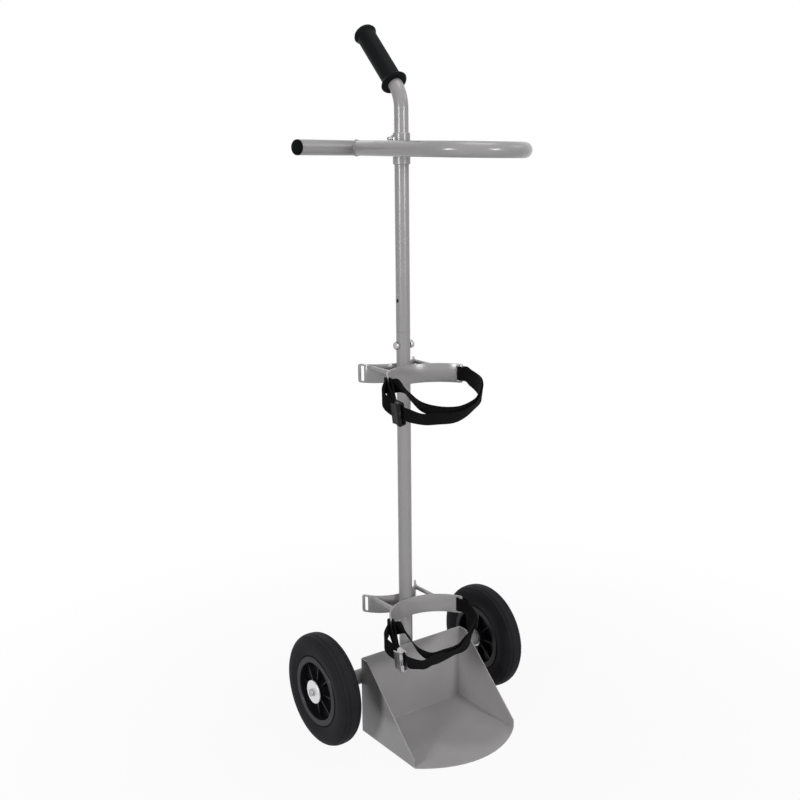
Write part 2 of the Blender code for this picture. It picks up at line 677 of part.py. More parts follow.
def hoop_path():
    """Arm, bend, right leg, round front and left leg back to the arm, level with the column's axis at zero."""
    slant = HOOP_ARM_SLANT
    r = HOOP_BEND_RADIUS
    corner = Vector((HOOP_HALF_WIDTH, hoop_arm_y(HOOP_HALF_WIDTH), 0))
    turn = math.pi / 2 + slant
    bend_in = corner - r * math.tan(turn / 2) * Vector((math.cos(slant), math.sin(slant), 0))
    bend_centre = bend_in + r * Vector((math.sin(slant), -math.cos(slant), 0))
    path = [Vector((-HOOP_ARM_REACH, hoop_arm_y(-HOOP_ARM_REACH), 0))]
    path += arc(bend_centre, r, turn, 0, BEND_STEPS)
    path += arc((0.0, HOOP_HALF_WIDTH - HOOP_REACH), HOOP_HALF_WIDTH, 0, -math.pi, 2 * BEND_STEPS)
    path.append(Vector((-HOOP_HALF_WIDTH, hoop_arm_y(-HOOP_HALF_WIDTH) - TUBE_OD, 0)))
    return path


def hoop_cope(place):
    """Seat the end of the left leg against the arm."""
    reach = math.sqrt(max(0.0, (TUBE_R + FIT_GAP) ** 2 - place.z ** 2)) / math.cos(HOOP_ARM_SLANT)
    return Vector((place.x, hoop_arm_y(place.x) - reach, place.z))


def make_hoop():
    bore = TUBE_R + FIT_GAP
    out = SLEEVE_OD / 2
    half = SLEEVE_LENGTH / 2
    cut = SLEEVE_CHAMFER
    sleeve = add_object("hoop_sleeve",
                        turned([(bore, -half), (out - cut, -half), (out, -half + cut), (out, half - cut),
                                (out - cut, half), (bore, half)]), painted_steel,
                        Matrix.Translation((0, COLUMN_Y, HOOP_Z)))
    screw_hole = CLAMP_SCREW_OD / 2 + BOLT_CLEARANCE
    clamp_z = HOOP_Z + CLAMP_RISE
    boolean(sleeve, cutter("clamp_hole", prism(circle(screw_hole, 16), 0, SLEEVE_OD),
                           along_x(0, COLUMN_Y, clamp_z, -1)))
    level = (Matrix.Translation((0, COLUMN_Y, HOOP_Z)) @ Matrix.Rotation(HOOP_ROLL, 4, "Y")
             @ Matrix.Rotation(HOOP_PITCH, 4, "X"))
    bent = tube(hoop_path(), TUBE_R, TUBE_BORE_R, HOOP_FACETS, end_cope=hoop_cope)
    add_object("hoop_tube", bent, painted_steel, level)

    slant = HOOP_ARM_SLANT
    end = Vector((-HOOP_ARM_REACH, hoop_arm_y(-HOOP_ARM_REACH), 0))
    outward = Vector((-math.cos(slant), -math.sin(slant), 0))
    plug_place = level @ Matrix.Translation(end) @ outward.to_track_quat("Z", "Y").to_matrix().to_4x4()
    shank_r = TUBE_BORE_R - FIT_GAP
    seat = FIT_GAP
    plug = [(0, -PLUG_SHANK), (shank_r - 0.001, -PLUG_SHANK), (shank_r, -PLUG_SHANK + 0.001), (shank_r, seat),
            (TUBE_R, seat), (TUBE_R, seat + PLUG_HEAD / 2), (TUBE_R - 0.0012, seat + PLUG_HEAD - 0.0008),
            (TUBE_R - 0.004, seat + PLUG_HEAD), (0, seat + PLUG_HEAD)]
    add_object("hoop_end_plug", turned(plug, closed=False), black_plastic, plug_place)

    nut_seat = SLEEVE_OD / 2 + FIT_GAP
    make_nut("hoop_clamp_nut", along_x(-nut_seat, COLUMN_Y, clamp_z, -1), CLAMP_NUT_FLATS, CLAMP_NUT_HEIGHT,
             screw_hole)
    tip = TUBE_R + FIT_GAP
    screw_r = CLAMP_SCREW_OD / 2
    point = 0.0008
    screw = add_object("hoop_clamp_screw",
                       turned([(0, 0), (screw_r - point, 0), (screw_r, point), (screw_r, CLAMP_SCREW_LENGTH - point),
                               (screw_r - point, CLAMP_SCREW_LENGTH), (0, CLAMP_SCREW_LENGTH)], 16, closed=False),
                       zinc, along_x(-tip, COLUMN_Y, clamp_z, -1))
    socket = prism(hexagon(CLAMP_SOCKET_FLATS), CLAMP_SCREW_LENGTH - 0.003, CLAMP_SCREW_LENGTH + 0.001)
    boolean(screw, cutter("clamp_socket", socket, along_x(-tip, COLUMN_Y, clamp_z, -1)))


def strap_place(middle_z, place):
    """A point given from the column's axis and the middle of the saddle."""
    x, y, dz = place
    return Vector((x, COLUMN_Y + y, middle_z + dz))


def buckle_matrix(middle_z):
    """Buckle frame: X runs forward along the strap, Y across it, Z away from the cylinder."""
    level = Matrix((Vector((0, -1, 0)), Vector((0, 0, 1)), Vector((-1, 0, 0)))).transposed()
    turn = Matrix.Rotation(BUCKLE_PITCH, 3, "X") @ Matrix.Rotation(-BUCKLE_ROLL, 3, "Y") @ level
    return Matrix.Translation(strap_place(middle_z, BUCKLE_PLACE)) @ turn.to_4x4()


def round_bar(middle_z, side, inward, layer=0):
    """Strap points round the bar at the saddle's end, through the slot, outside as many layers as said."""
    middle_r = FRONT_SADDLE_RADIUS + SADDLE_SHEET / 2
    bar_angle = SADDLE_HALF_ANGLE - (SLOT_INSET - SLOT_WIDTH / 2) / middle_r
    lead = SADDLE_HALF_ANGLE + math.radians(4)
    wrap = SADDLE_SHEET / 2 + 2 * FIT_GAP + STRAP_HALF + layer * (STRAP_THICKNESS + 2 * FIT_GAP)
    flare = wrap + 0.001
    first = 1 if inward else -1
    steps = 6
    places = [(first * flare, lead)]
    for i in range(steps + 1):
        angle = math.pi * i / steps
        places.append((first * wrap * math.cos(angle), bar_angle - wrap * math.sin(angle) / middle_r))
    places.append((-first * flare, lead))
    points = [saddle_place(FRONT_CENTRE_Y, -1, middle_r + offset, side * angle) for offset, angle in places]
    return [p + Vector((0, 0, middle_z)) for p in points]


def strap_route(middle_z, slack):
    """One belt: cam, left slot, inner layer round the front, right slot, outer layer back to the buckle."""
    def places(rows):
        return [strap_place(middle_z, row) for row in rows]

    centre = strap_place(middle_z, (0, FRONT_CENTRE_Y, 0))

    def out_of_face(p, offset):
        away = p - centre
        away.z = 0
        lean = strap_lean(p, slack["lean"])
        return p + offset * (math.cos(lean) * away.normalized() - math.sin(lean) * Vector((0, 0, 1)))

    def layer(offset):
        shifted = [out_of_face(p, offset) for p in places(slack["front"])]
        if offset > 0:
            for number, p in enumerate(shifted):
                p.z -= slack["drop"] * (number / (len(shifted) - 1)) ** 2
        return shifted

    buckle = buckle_matrix(middle_z)
    half = BUCKLE_LENGTH / 2
    belt = [buckle @ Vector((x, 0, 0)) for x in (half - STRAP_LEAD / 2, -half, -half - STRAP_LEAD)]
    belt.append(strap_place(middle_z, slack["loop"]))
    belt += round_bar(middle_z, -1, True, 1)
    belt += places(slack["strand"])
    belt += list(reversed(layer(-STRAP_LAYER_STEP / 2)))
    belt += round_bar(middle_z, 1, False)
    belt += layer(STRAP_LAYER_STEP / 2)
    belt += places(slack["return"])
    belt += [buckle @ Vector((x, 0, -RETURN_DEPTH)) for x in (half + STRAP_LEAD, half + FIT_GAP)]
    return belt


def holder_route(middle_z):
    """Short sewn loop: from the buckle's rear round the left bar and back, inside the strap."""
    buckle = buckle_matrix(middle_z)
    rear = -BUCKLE_LENGTH / 2 - FIT_GAP
    apart = STRAP_HALF + 2 * FIT_GAP
    outer = [buckle @ Vector((x, 0, apart - HOLDER_DEPTH)) for x in (rear, rear - STRAP_LEAD)]
    inner = [buckle @ Vector((x, 0, -apart - HOLDER_DEPTH)) for x in (rear - STRAP_LEAD, rear)]
    return outer + round_bar(middle_z, -1, True) + inner


def ramp(value, start, end):
    """0 at start, 1 at end, straight between."""
    return min(1.0, max(0.0, (value - start) / (end - start)))


def past_bar(point):
    """0 round the saddle's bar, 1 where the slack has its full lean."""
    bar_y = COLUMN_Y + FRONT_CENTRE_Y + FRONT_SADDLE_RADIUS * math.cos(SADDLE_HALF_ANGLE)
    turn_end = LEFT_TURN if point.x < 0 else RIGHT_TURN
    return ramp(point.y, bar_y - TURN_START, bar_y - turn_end)


def strap_lean(point, lean):
    """Lean of the webbing: upright at the saddle, as the buckle leans beside it, full along the front."""
    inner = ramp(point.x, BUCKLE_PLACE[0], BUCKLE_PLACE[0] + BUCKLE_TURN)
    return past_bar(point) * (inner * lean + (1 - inner) * BUCKLE_ROLL)


def webbing(route, full_lean):
    """Flat strip along a route, standing on edge and leaning with the slack."""
    bm = bmesh.new()
    rings = []
    centre = Vector((0, COLUMN_Y + FRONT_CENTRE_Y, 0))
    for point, tangent in zip(route, tangents(route)):
        away = point - centre
        away.z = 0
        lean = strap_lean(point, full_lean)
        across = math.cos(lean) * Vector((0, 0, 1)) + math.sin(lean) * away.normalized()
        across = (across - past_bar(point) * across.dot(tangent) * tangent).normalized()
        out = tangent.cross(across).normalized()
        ring = []
        for a, b in ((-1, -1), (1, -1), (1, 1), (-1, 1)):
            ring.append(bm.verts.new(point + a * STRAP_WIDTH / 2 * across + b * STRAP_HALF * out))
        rings.append(ring)
    bm.faces.new(reversed(rings[0]))
    bm.faces.new(rings[-1])
    for near, far in zip(rings, rings[1:]):
        for low, high in ((0, 1), (3, 2)):
            bm.faces.new((near[low], near[high], far[high]))
            bm.faces.new((near[low], far[high], far[low]))
        for inside, outside in ((1, 2), (3, 0)):
            bm.faces.new((near[inside], near[outside], far[outside], far[inside]))
    bmesh.ops.recalc_face_normals(bm, faces=bm.faces[:])
    return bm


def make_buckle(level, place, frame_finish):
    """Sheet frame, pin, cam lever and spring; the lever turns at the front and its flap points back."""
    place = place @ Matrix.Rotation(math.pi, 4, "Z")
    half_l = BUCKLE_LENGTH / 2
    half_w = BUCKLE_WIDTH / 2
    base_top = -STRAP_HALF - 3 * FIT_GAP
    base_low = base_top - BUCKLE_SHEET
    pin_x = PIN_PLACE - half_l
    pin_z = base_low + BUCKLE_DEPTH - BUCKLE_PIN_OD
    pin_r = BUCKLE_PIN_OD / 2

    base = prism(rounded_box(BUCKLE_LENGTH, BUCKLE_WIDTH, 0.003, 2), base_low, base_top)
    frame = add_object(level + "_buckle_frame", base, frame_finish, place)
    cheek_top = base_low + BUCKLE_DEPTH
    cheek_outline = [(0.0015 - half_l, base_low + 0.0004), (half_l - 0.0015, base_low + 0.0004),
                     (half_l - 0.003, 0.003), (pin_x + 0.005, cheek_top), (pin_x - 0.004, cheek_top),
                     (0.0015 - half_l, 0.003)]
    upright = Matrix.Rotation(math.pi / 2, 4, "X")
    for side in (-1, 1):
        outer = side * half_w
        low, high = sorted((outer, outer - side * BUCKLE_SHEET))
        cheek = prism(cheek_outline, -high, -low)
        boolean(frame, cutter(f"{level}_buckle_cheek_{side}", cheek, place @ upright), "UNION")
    pin_axis = place @ Matrix.Translation((pin_x, 0, pin_z)) @ Matrix.Rotation(-math.pi / 2, 4, "X")
    pin_hole = prism(circle(pin_r + BOLT_CLEARANCE, 16), -BUCKLE_WIDTH, BUCKLE_WIDTH)
    pin_drill = cutter(level + "_buckle_pin_hole", pin_hole, pin_axis)
    boolean(frame, pin_drill)

    head = BUCKLE_PIN_HEAD / 2
    pin_end = half_w + FIT_GAP
    head_end = pin_end + BUCKLE_PIN_HEAD_THICKNESS
    pin = [(0, -head_end), (head - 0.0005, -head_end), (head, -pin_end), (pin_r, -pin_end), (pin_r, pin_end),
           (head, pin_end), (head - 0.0005, head_end), (0, head_end)]
    add_object(level + "_buckle_pin", turned(pin, 16, closed=False), zinc, pin_axis)

    make_lever(level, place, pin_x, pin_z, pin_drill, frame_finish)
    make_spring(level, pin_axis)


def make_lever(level, place, pin_x, pin_z, pin_drill, finish):
    """Cam lever: a toothed nose over the strap and a thumb flap, notched for the spring."""
    nose_z = STRAP_HALF + 0.0008 - pin_z
    barrel = [Vector((LEVER_BARREL * math.cos(a), LEVER_BARREL * math.sin(a)))
              for a in (math.radians(d) for d in range(60, 186, 25))]
    flap_dir = Vector((math.cos(LEVER_LIFT), math.sin(LEVER_LIFT)))
    flap_up = Vector((-flap_dir.y, flap_dir.x))
    top = flap_up * (LEVER_BARREL - 0.001)
    tip = flap_dir * LEVER_FLAP
    outline = [tip + top, tip + top - flap_up * LEVER_SHEET, flap_dir * 0.007 + top - flap_up * LEVER_SHEET,
               Vector((0.0042, -0.0022)), Vector((0.0012, nose_z + 0.0012)), Vector((-0.0004, nose_z)),
               Vector((-0.0014, nose_z + 0.0010)), Vector((-0.0024, nose_z + 0.0002)),
               Vector((-0.0036, nose_z + 0.0013))]
    outline += [p for p in reversed(barrel)]
    half = BUCKLE_WIDTH / 2 - BUCKLE_SHEET - 2 * FIT_GAP
    bm = prism([(p.x, p.y) for p in outline], -half, half)
    upright = Matrix.Translation((pin_x, 0, pin_z)) @ Matrix.Rotation(math.pi / 2, 4, "X")
    lever = add_object(level + "_cam_lever", bm, finish, place @ upright)
    boolean(lever, pin_drill)
    room = LEVER_BARREL + 0.002
    skin_low = LEVER_BARREL - 0.001
    notch = prism([(-room, -room - 0.002), (room, -room - 0.002), (room, skin_low), (-room, skin_low)],
                  -LEVER_NOTCH / 2, LEVER_NOTCH / 2)
    boolean(lever, cutter(level + "_lever_notch", notch, place @ upright))
    hole_at = flap_dir * (LEVER_FLAP + room) / 2
    across_flap = Matrix.Rotation(LEVER_LIFT, 4, "Z") @ Matrix.Rotation(-math.pi / 2, 4, "X")
    hole = prism(circle(LEVER_HOLE / 2, 12), -room, room)
    hole_place = place @ upright @ Matrix.Translation((hole_at.x, hole_at.y, 0)) @ across_flap
    boolean(lever, cutter(level + "_lever_hole", hole, hole_place))


def make_spring(level, pin_axis):
    """Torsion spring wound round the pin."""
    radius = BUCKLE_PIN_OD / 2 + BOLT_CLEARANCE + SPRING_WIRE / 2 + FIT_GAP
    length = LEVER_NOTCH - 4 * SPRING_WIRE
    count = SPRING_TURNS * SPRING_FACETS
    path = []
    for i in range(count + 1):
        angle = math.tau * i / SPRING_FACETS
        path.append(Vector((radius * math.cos(angle), radius * math.sin(angle), length * (i / count - 0.5))))
    add_object(level + "_cam_spring", rod(path, SPRING_WIRE / 2, 5), zinc, pin_axis)


def make_strap_set(level, middle_z, slack, frame_finish):
    make_saddle(level + "_front_saddle", middle_z, FRONT_SADDLE_RADIUS, FRONT_CENTRE_Y, -1)
    make_saddle(level + "_rear_saddle", middle_z, REAR_SADDLE_RADIUS, REAR_CENTRE_Y, 1)
    make_braces(level, middle_z)
    route = smooth_route(strap_route(middle_z, slack), STRAP_STEP)
    add_object(level + "_strap", webbing(route, slack["lean"]), black_webbing)
    holder = smooth_route(holder_route(middle_z), STRAP_STEP)
    add_object(level + "_holder", webbing(holder, BUCKLE_ROLL), black_webbing)
    make_buckle(level, buckle_matrix(middle_z), frame_finish)


clear_scene()
cart = bpy.data.objects.new("cart", None)
bpy.context.scene.collection.objects.link(cart)

painted_steel = paint("painted_steel", (0.30, 0.29, 0.29), 0.42, 0.0)
zinc = paint("zinc", (0.62, 0.60, 0.61), 0.32, 1.0)
tyre_rubber = paint("tyre_rubber", (0.012, 0.012, 0.014), 0.72, 0.0)
grip_rubber = paint("grip_rubber", (0.010, 0.011, 0.011), 0.55, 0.0)
black_plastic = paint("black_plastic", (0.014, 0.015, 0.017), 0.45, 0.0)
pale_plastic = paint("pale_plastic", (0.45, 0.45, 0.43), 0.5, 0.0)
black_webbing = paint("black_webbing", (0.008, 0.008, 0.009), 0.85, 0.0)
black_metal = paint("black_metal", (0.012, 0.012, 0.013), 0.4, 0.0)

make_tray()
make_axle()
make_column()
make_hoop()
make_strap_set("upper", UPPER_SADDLE_Z, UPPER_SLACK, black_metal)
make_strap_set("lower", LOWER_SADDLE_Z, LOWER_SLACK, zinc)
make_wheel("left", -1)
make_wheel("right", 1)
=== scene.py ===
import json
import math

import bpy
from mathutils import Matrix, Vector

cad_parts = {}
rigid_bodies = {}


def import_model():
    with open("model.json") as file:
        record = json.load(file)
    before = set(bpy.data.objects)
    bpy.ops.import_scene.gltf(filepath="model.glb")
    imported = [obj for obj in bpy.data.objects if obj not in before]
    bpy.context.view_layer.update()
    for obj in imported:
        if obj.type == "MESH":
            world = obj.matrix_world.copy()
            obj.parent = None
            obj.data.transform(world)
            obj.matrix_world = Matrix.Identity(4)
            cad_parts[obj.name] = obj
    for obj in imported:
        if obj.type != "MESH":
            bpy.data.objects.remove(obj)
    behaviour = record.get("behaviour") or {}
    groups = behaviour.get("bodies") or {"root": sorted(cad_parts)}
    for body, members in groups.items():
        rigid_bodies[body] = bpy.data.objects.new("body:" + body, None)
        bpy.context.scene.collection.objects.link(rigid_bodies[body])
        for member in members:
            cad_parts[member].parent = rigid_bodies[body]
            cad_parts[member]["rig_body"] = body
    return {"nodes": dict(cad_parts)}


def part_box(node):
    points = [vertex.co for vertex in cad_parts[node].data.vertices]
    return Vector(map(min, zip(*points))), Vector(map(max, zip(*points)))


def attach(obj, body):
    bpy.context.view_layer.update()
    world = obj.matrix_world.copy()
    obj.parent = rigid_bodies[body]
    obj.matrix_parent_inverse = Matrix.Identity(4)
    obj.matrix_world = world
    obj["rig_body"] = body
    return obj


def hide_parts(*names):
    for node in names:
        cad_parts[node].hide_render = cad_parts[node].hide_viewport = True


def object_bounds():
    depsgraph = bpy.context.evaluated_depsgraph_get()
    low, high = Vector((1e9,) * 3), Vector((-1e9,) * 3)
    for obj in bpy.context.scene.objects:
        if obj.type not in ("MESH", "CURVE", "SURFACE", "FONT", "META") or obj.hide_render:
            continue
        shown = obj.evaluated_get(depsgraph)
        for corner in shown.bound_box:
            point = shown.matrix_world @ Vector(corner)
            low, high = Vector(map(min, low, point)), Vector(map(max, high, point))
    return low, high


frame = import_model()
cadLow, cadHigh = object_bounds()
print("frame loaded,", len(frame["nodes"]), "nodes")


# camera: front left and a little above, as the photograph
photoView = {
    "place": (-1.1303, -1.45725, 1.0453),
    "yaw": 35.81,        # degrees to the right of straight ahead
    "dip": 12.89,
    "roll": -0.57,
    "lens": 49.54,       # millimetres, square picture
    "sensor": 36,
    "clipStart": 0.05,
}


def addCamera(view):
    yaw, dip, roll = (math.radians(view[k]) for k in ("yaw", "dip", "roll"))
    ahead = Vector((math.sin(yaw) * math.cos(dip), math.cos(yaw) * math.cos(dip), -math.sin(dip)))
    flatRight = Vector((math.cos(yaw), -math.sin(yaw), 0))
    flatUp = flatRight.cross(ahead)
    right = math.cos(roll) * flatRight + math.sin(roll) * flatUp
    up = math.cos(roll) * flatUp - math.sin(roll) * flatRight
    turn = Matrix((right, up, -ahead)).transposed()
    bpy.ops.object.camera_add(location=view["place"], rotation=turn.to_euler())
    camera = bpy.context.object
    camera.data.sensor_width = view["sensor"]
    camera.data.lens = view["lens"]
    camera.data.clip_start = view["clipStart"]
    bpy.context.scene.camera = camera


addCamera(photoView)
bpy.context.scene.view_settings.view_transform = "Standard"
print("camera set")


# helpers for picking, naming and smoothing pieces
smoothAngle, softAngle = 35, 60     # degrees, on hard pieces and on soft or rounded ones


def pickOnly(obj):
    if bpy.context.object and bpy.context.object.mode != "OBJECT":
        bpy.ops.object.mode_set(mode="OBJECT")
    bpy.ops.object.select_all(action="DESELECT")
    obj.select_set(True)
    bpy.context.view_layer.objects.active = obj


def clearPick():
    bpy.ops.object.select_all(action="DESELECT")


def nameIt(name):
    obj = bpy.context.object
    obj.name = name
    obj.data.name = name
    return obj


def applyAll(obj):
    pickOnly(obj)
    for modifier in list(obj.modifiers):
        bpy.ops.object.modifier_apply(modifier=modifier.name)


def openMesh(obj):
    pickOnly(obj)
    bpy.ops.object.mode_set(mode="EDIT")
    bpy.ops.mesh.select_all(action="SELECT")


def closeMesh():
    bpy.ops.object.mode_set(mode="OBJECT")


def smoothEdges(obj, degrees=smoothAngle):
    pickOnly(obj)
    bpy.ops.object.shade_smooth_by_angle(angle=math.radians(degrees))


# shared shader effects
grainLook = {"cloudDetail": 3.0, "grainDetail": 2.0, "toneLow": 0.3, "toneHigh": 0.7}
rubLook = {"samples": 4, "flat": 0.99, "sharp": 0.85,
           "breakDetail": 3.0, "breakLow": 0.42, "breakHigh": 0.60}
weaveLook = {"cords": 1100.0, "picks": 620.0, "shift": 0.5, "crown": 0.6, "least": 0.35,
             "fuzzScale": 900.0, "fuzzDetail": 2.0}


def newGroup(name, inputs, outputs):
    group = bpy.data.node_groups.new(name, "ShaderNodeTree")
    for label, kind, value in inputs:
        socket = group.interface.new_socket(label, in_out="INPUT", socket_type=kind)
        if value is not None:
            socket.default_value = value
    for label, kind in outputs:
        group.interface.new_socket(label, in_out="OUTPUT", socket_type=kind)
    return group, group.nodes.new("NodeGroupInput"), group.nodes.new("NodeGroupOutput")


def feed(tree, socket, item):
    # a number or colour is set, and another node's output is linked
    if isinstance(item, (int, float)):
        socket.default_value = item
    elif isinstance(item, tuple):
        socket.default_value = (*item, 1)
    else:
        tree.links.new(item, socket)


def mathNode(tree, operation, *values):
    node = tree.nodes.new("ShaderNodeMath")
    node.operation = operation
    for index, value in enumerate(values):
        feed(tree, node.inputs[index], value)
    return node.outputs[0]


def rangeNode(tree, value, fromLow, fromHigh, toLow, toHigh):
    node = tree.nodes.new("ShaderNodeMapRange")
    for label, item in (("Value", value), ("From Min", fromLow), ("From Max", fromHigh),
                        ("To Min", toLow), ("To Max", toHigh)):
        feed(tree, node.inputs[label], item)
    return node.outputs["Result"]


def noiseNode(tree, vector, scale, detail):
    node = tree.nodes.new("ShaderNodeTexNoise")
    for label, item in (("Vector", vector), ("Scale", scale), ("Detail", detail)):
        feed(tree, node.inputs[label], item)
    return node.outputs[0]


def colourMix(tree, share, first, second):
    node = tree.nodes.new("ShaderNodeMix")
    node.data_type = "RGBA"
    for socket, item in ((node.inputs[0], share), (node.inputs[6], first), (node.inputs[7], second)):
        feed(tree, socket, item)
    return node.outputs[2]


def directRays(tree):
    # 1 for what is seen straight, in a reflection or through something clear
    seen = tree.nodes.new("ShaderNodeLightPath").outputs
    straight = mathNode(tree, "MAXIMUM", seen["Is Camera Ray"], seen["Is Glossy Ray"])
    return mathNode(tree, "MAXIMUM", straight, seen["Is Transmission Ray"])


def makeGrainGroup():
    # cloudy tone, fine grain and a bump height, all from one place on the piece
    group, start, end = newGroup("surfaceGrain", [
        ("Vector", "NodeSocketVector", None), ("Cloud Scale", "NodeSocketFloat", 18.0),
        ("Grain Scale", "NodeSocketFloat", 900.0), ("Cloud Share", "NodeSocketFloat", 0.6)],
        [("Tone", "NodeSocketFloat"), ("Height", "NodeSocketFloat")])
    vector = start.outputs["Vector"]
    cloud = noiseNode(group, vector, start.outputs["Cloud Scale"], grainLook["cloudDetail"])
    grain = noiseNode(group, vector, start.outputs["Grain Scale"], grainLook["grainDetail"])
    mix = group.nodes.new("ShaderNodeMix")
    group.links.new(start.outputs["Cloud Share"], mix.inputs[0])
    group.links.new(grain, mix.inputs[2])
    group.links.new(cloud, mix.inputs[3])
    tone = rangeNode(group, mix.outputs[0], grainLook["toneLow"], grainLook["toneHigh"], 0.0, 1.0)
    group.links.new(tone, end.inputs["Tone"])
    group.links.new(grain, end.inputs["Height"])
    return group


def makeEdgeGroup():
    # a mask that is 1 along outer edges, broken up by noise
    group, start, end = newGroup("edgeRub", [
        ("Vector", "NodeSocketVector", None), ("Radius", "NodeSocketFloat", 0.0007),
        ("Break Scale", "NodeSocketFloat", 120.0)], [("Mask", "NodeSocketFloat")])
    soft = group.nodes.new("ShaderNodeBevel")
    soft.samples = rubLook["samples"]
    group.links.new(start.outputs["Radius"], soft.inputs["Radius"])
    plain = group.nodes.new("ShaderNodeNewGeometry")
    dot = group.nodes.new("ShaderNodeVectorMath")
    dot.operation = "DOT_PRODUCT"
    group.links.new(soft.outputs[0], dot.inputs[0])
    group.links.new(plain.outputs["Normal"], dot.inputs[1])
    edge = rangeNode(group, dot.outputs["Value"], rubLook["flat"], rubLook["sharp"], 0.0, 1.0)
    noise = noiseNode(group, start.outputs["Vector"], start.outputs["Break Scale"], rubLook["breakDetail"])
    broken = rangeNode(group, noise, rubLook["breakLow"], rubLook["breakHigh"], 0.0, 1.0)
    group.links.new(mathNode(group, "MULTIPLY", edge, broken), end.inputs["Mask"])
    return group


def makeWeaveGroup():
    # flat webbing: cords along the length, picks across them, every other one raised
    group, start, end = newGroup("webbingWeave", [
        ("Vector", "NodeSocketVector", None), ("Cords", "NodeSocketFloat", weaveLook["cords"]),
        ("Picks", "NodeSocketFloat", weaveLook["picks"])],
        [("Height", "NodeSocketFloat"), ("Tone", "NodeSocketFloat")])
    split = group.nodes.new("ShaderNodeSeparateXYZ")
    group.links.new(start.outputs["Vector"], split.inputs[0])
    along = mathNode(group, "MULTIPLY", split.outputs["X"], start.outputs["Picks"])
    across = mathNode(group, "MULTIPLY", split.outputs["Y"], start.outputs["Cords"])
    cordNumber = mathNode(group, "FLOOR", across)
    shift = mathNode(group, "MULTIPLY", mathNode(group, "MODULO", cordNumber, 2.0), weaveLook["shift"])
    stitch = mathNode(group, "FRACT", mathNode(group, "ADD", along, shift))
    cordPlace = mathNode(group, "FRACT", across)
    rise = mathNode(group, "SINE", mathNode(group, "MULTIPLY", stitch, math.pi))
    crown = mathNode(group, "SINE", mathNode(group, "MULTIPLY", cordPlace, math.pi))
    height = mathNode(group, "MULTIPLY", mathNode(group, "POWER", crown, weaveLook["crown"]),
                      mathNode(group, "ADD", weaveLook["least"], rise))
    group.links.new(height, end.inputs["Height"])
    # the tone is the weave's height times fine noise: painted shade in the hollows between cords and
    # painted light on the raised crowns, with random fuzz on top
    fuzz = noiseNode(group, start.outputs["Vector"], weaveLook["fuzzScale"], weaveLook["fuzzDetail"])
    group.links.new(mathNode(group, "MULTIPLY", height, fuzz), end.inputs["Tone"])
    return group


surfaceGrain = makeGrainGroup()
edgeRub = makeEdgeGroup()
webbingWeave = makeWeaveGroup()


def useGroup(tree, group, vector, **values):
    node = tree.nodes.new("ShaderNodeGroup")
    node.node_tree = group
    tree.links.new(vector, node.inputs["Vector"])
    for label, value in values.items():
        node.inputs[label.replace("_", " ")].default_value = value
    return node.outputs


def startMaterial(name, metallic=0.0, specular=0.5):
    material = bpy.data.materials.new(name)
    material.use_nodes = True
    tree = material.node_tree
    shader = tree.nodes["Principled BSDF"]
    shader.inputs["Metallic"].default_value = metallic
    shader.inputs["Specular IOR Level"].default_value = specular
    place = tree.nodes.new("ShaderNodeTexCoord")
    return material, tree, shader, place


def addBump(tree, shader, height, strength, distance):
    bump = tree.nodes.new("ShaderNodeBump")
    bump.inputs["Strength"].default_value = strength
    bump.inputs["Distance"].default_value = distance
    tree.links.new(height, bump.inputs["Height"])
    tree.links.new(bump.outputs["Normal"], shader.inputs["Normal"])


def grainyFinish(name, look):
    material, tree, shader, place = startMaterial(name, look["metallic"], look.get("specular", 0.5))
    vector = place.outputs["Object"]
    grain = useGroup(tree, surfaceGrain, vector, Cloud_Scale=look["cloudScale"],
                     Grain_Scale=look["grainScale"], Cloud_Share=look["cloudShare"])
    colour = colourMix(tree, grain["Tone"], look["dark"], look["light"])
    rough = rangeNode(tree, grain["Tone"], 0.0, 1.0, *look["roughness"])
    if "edge" in look:
        rub = useGroup(tree, edgeRub, vector, Radius=look["edgeRadius"])
        colour = colourMix(tree, rub["Mask"], colour, look["edge"])
    tree.links.new(colour, shader.inputs["Base Color"])
    tree.links.new(rough, shader.inputs["Roughness"])
    addBump(tree, shader, grain["Height"], look["bump"], look["bumpDepth"])
    return material


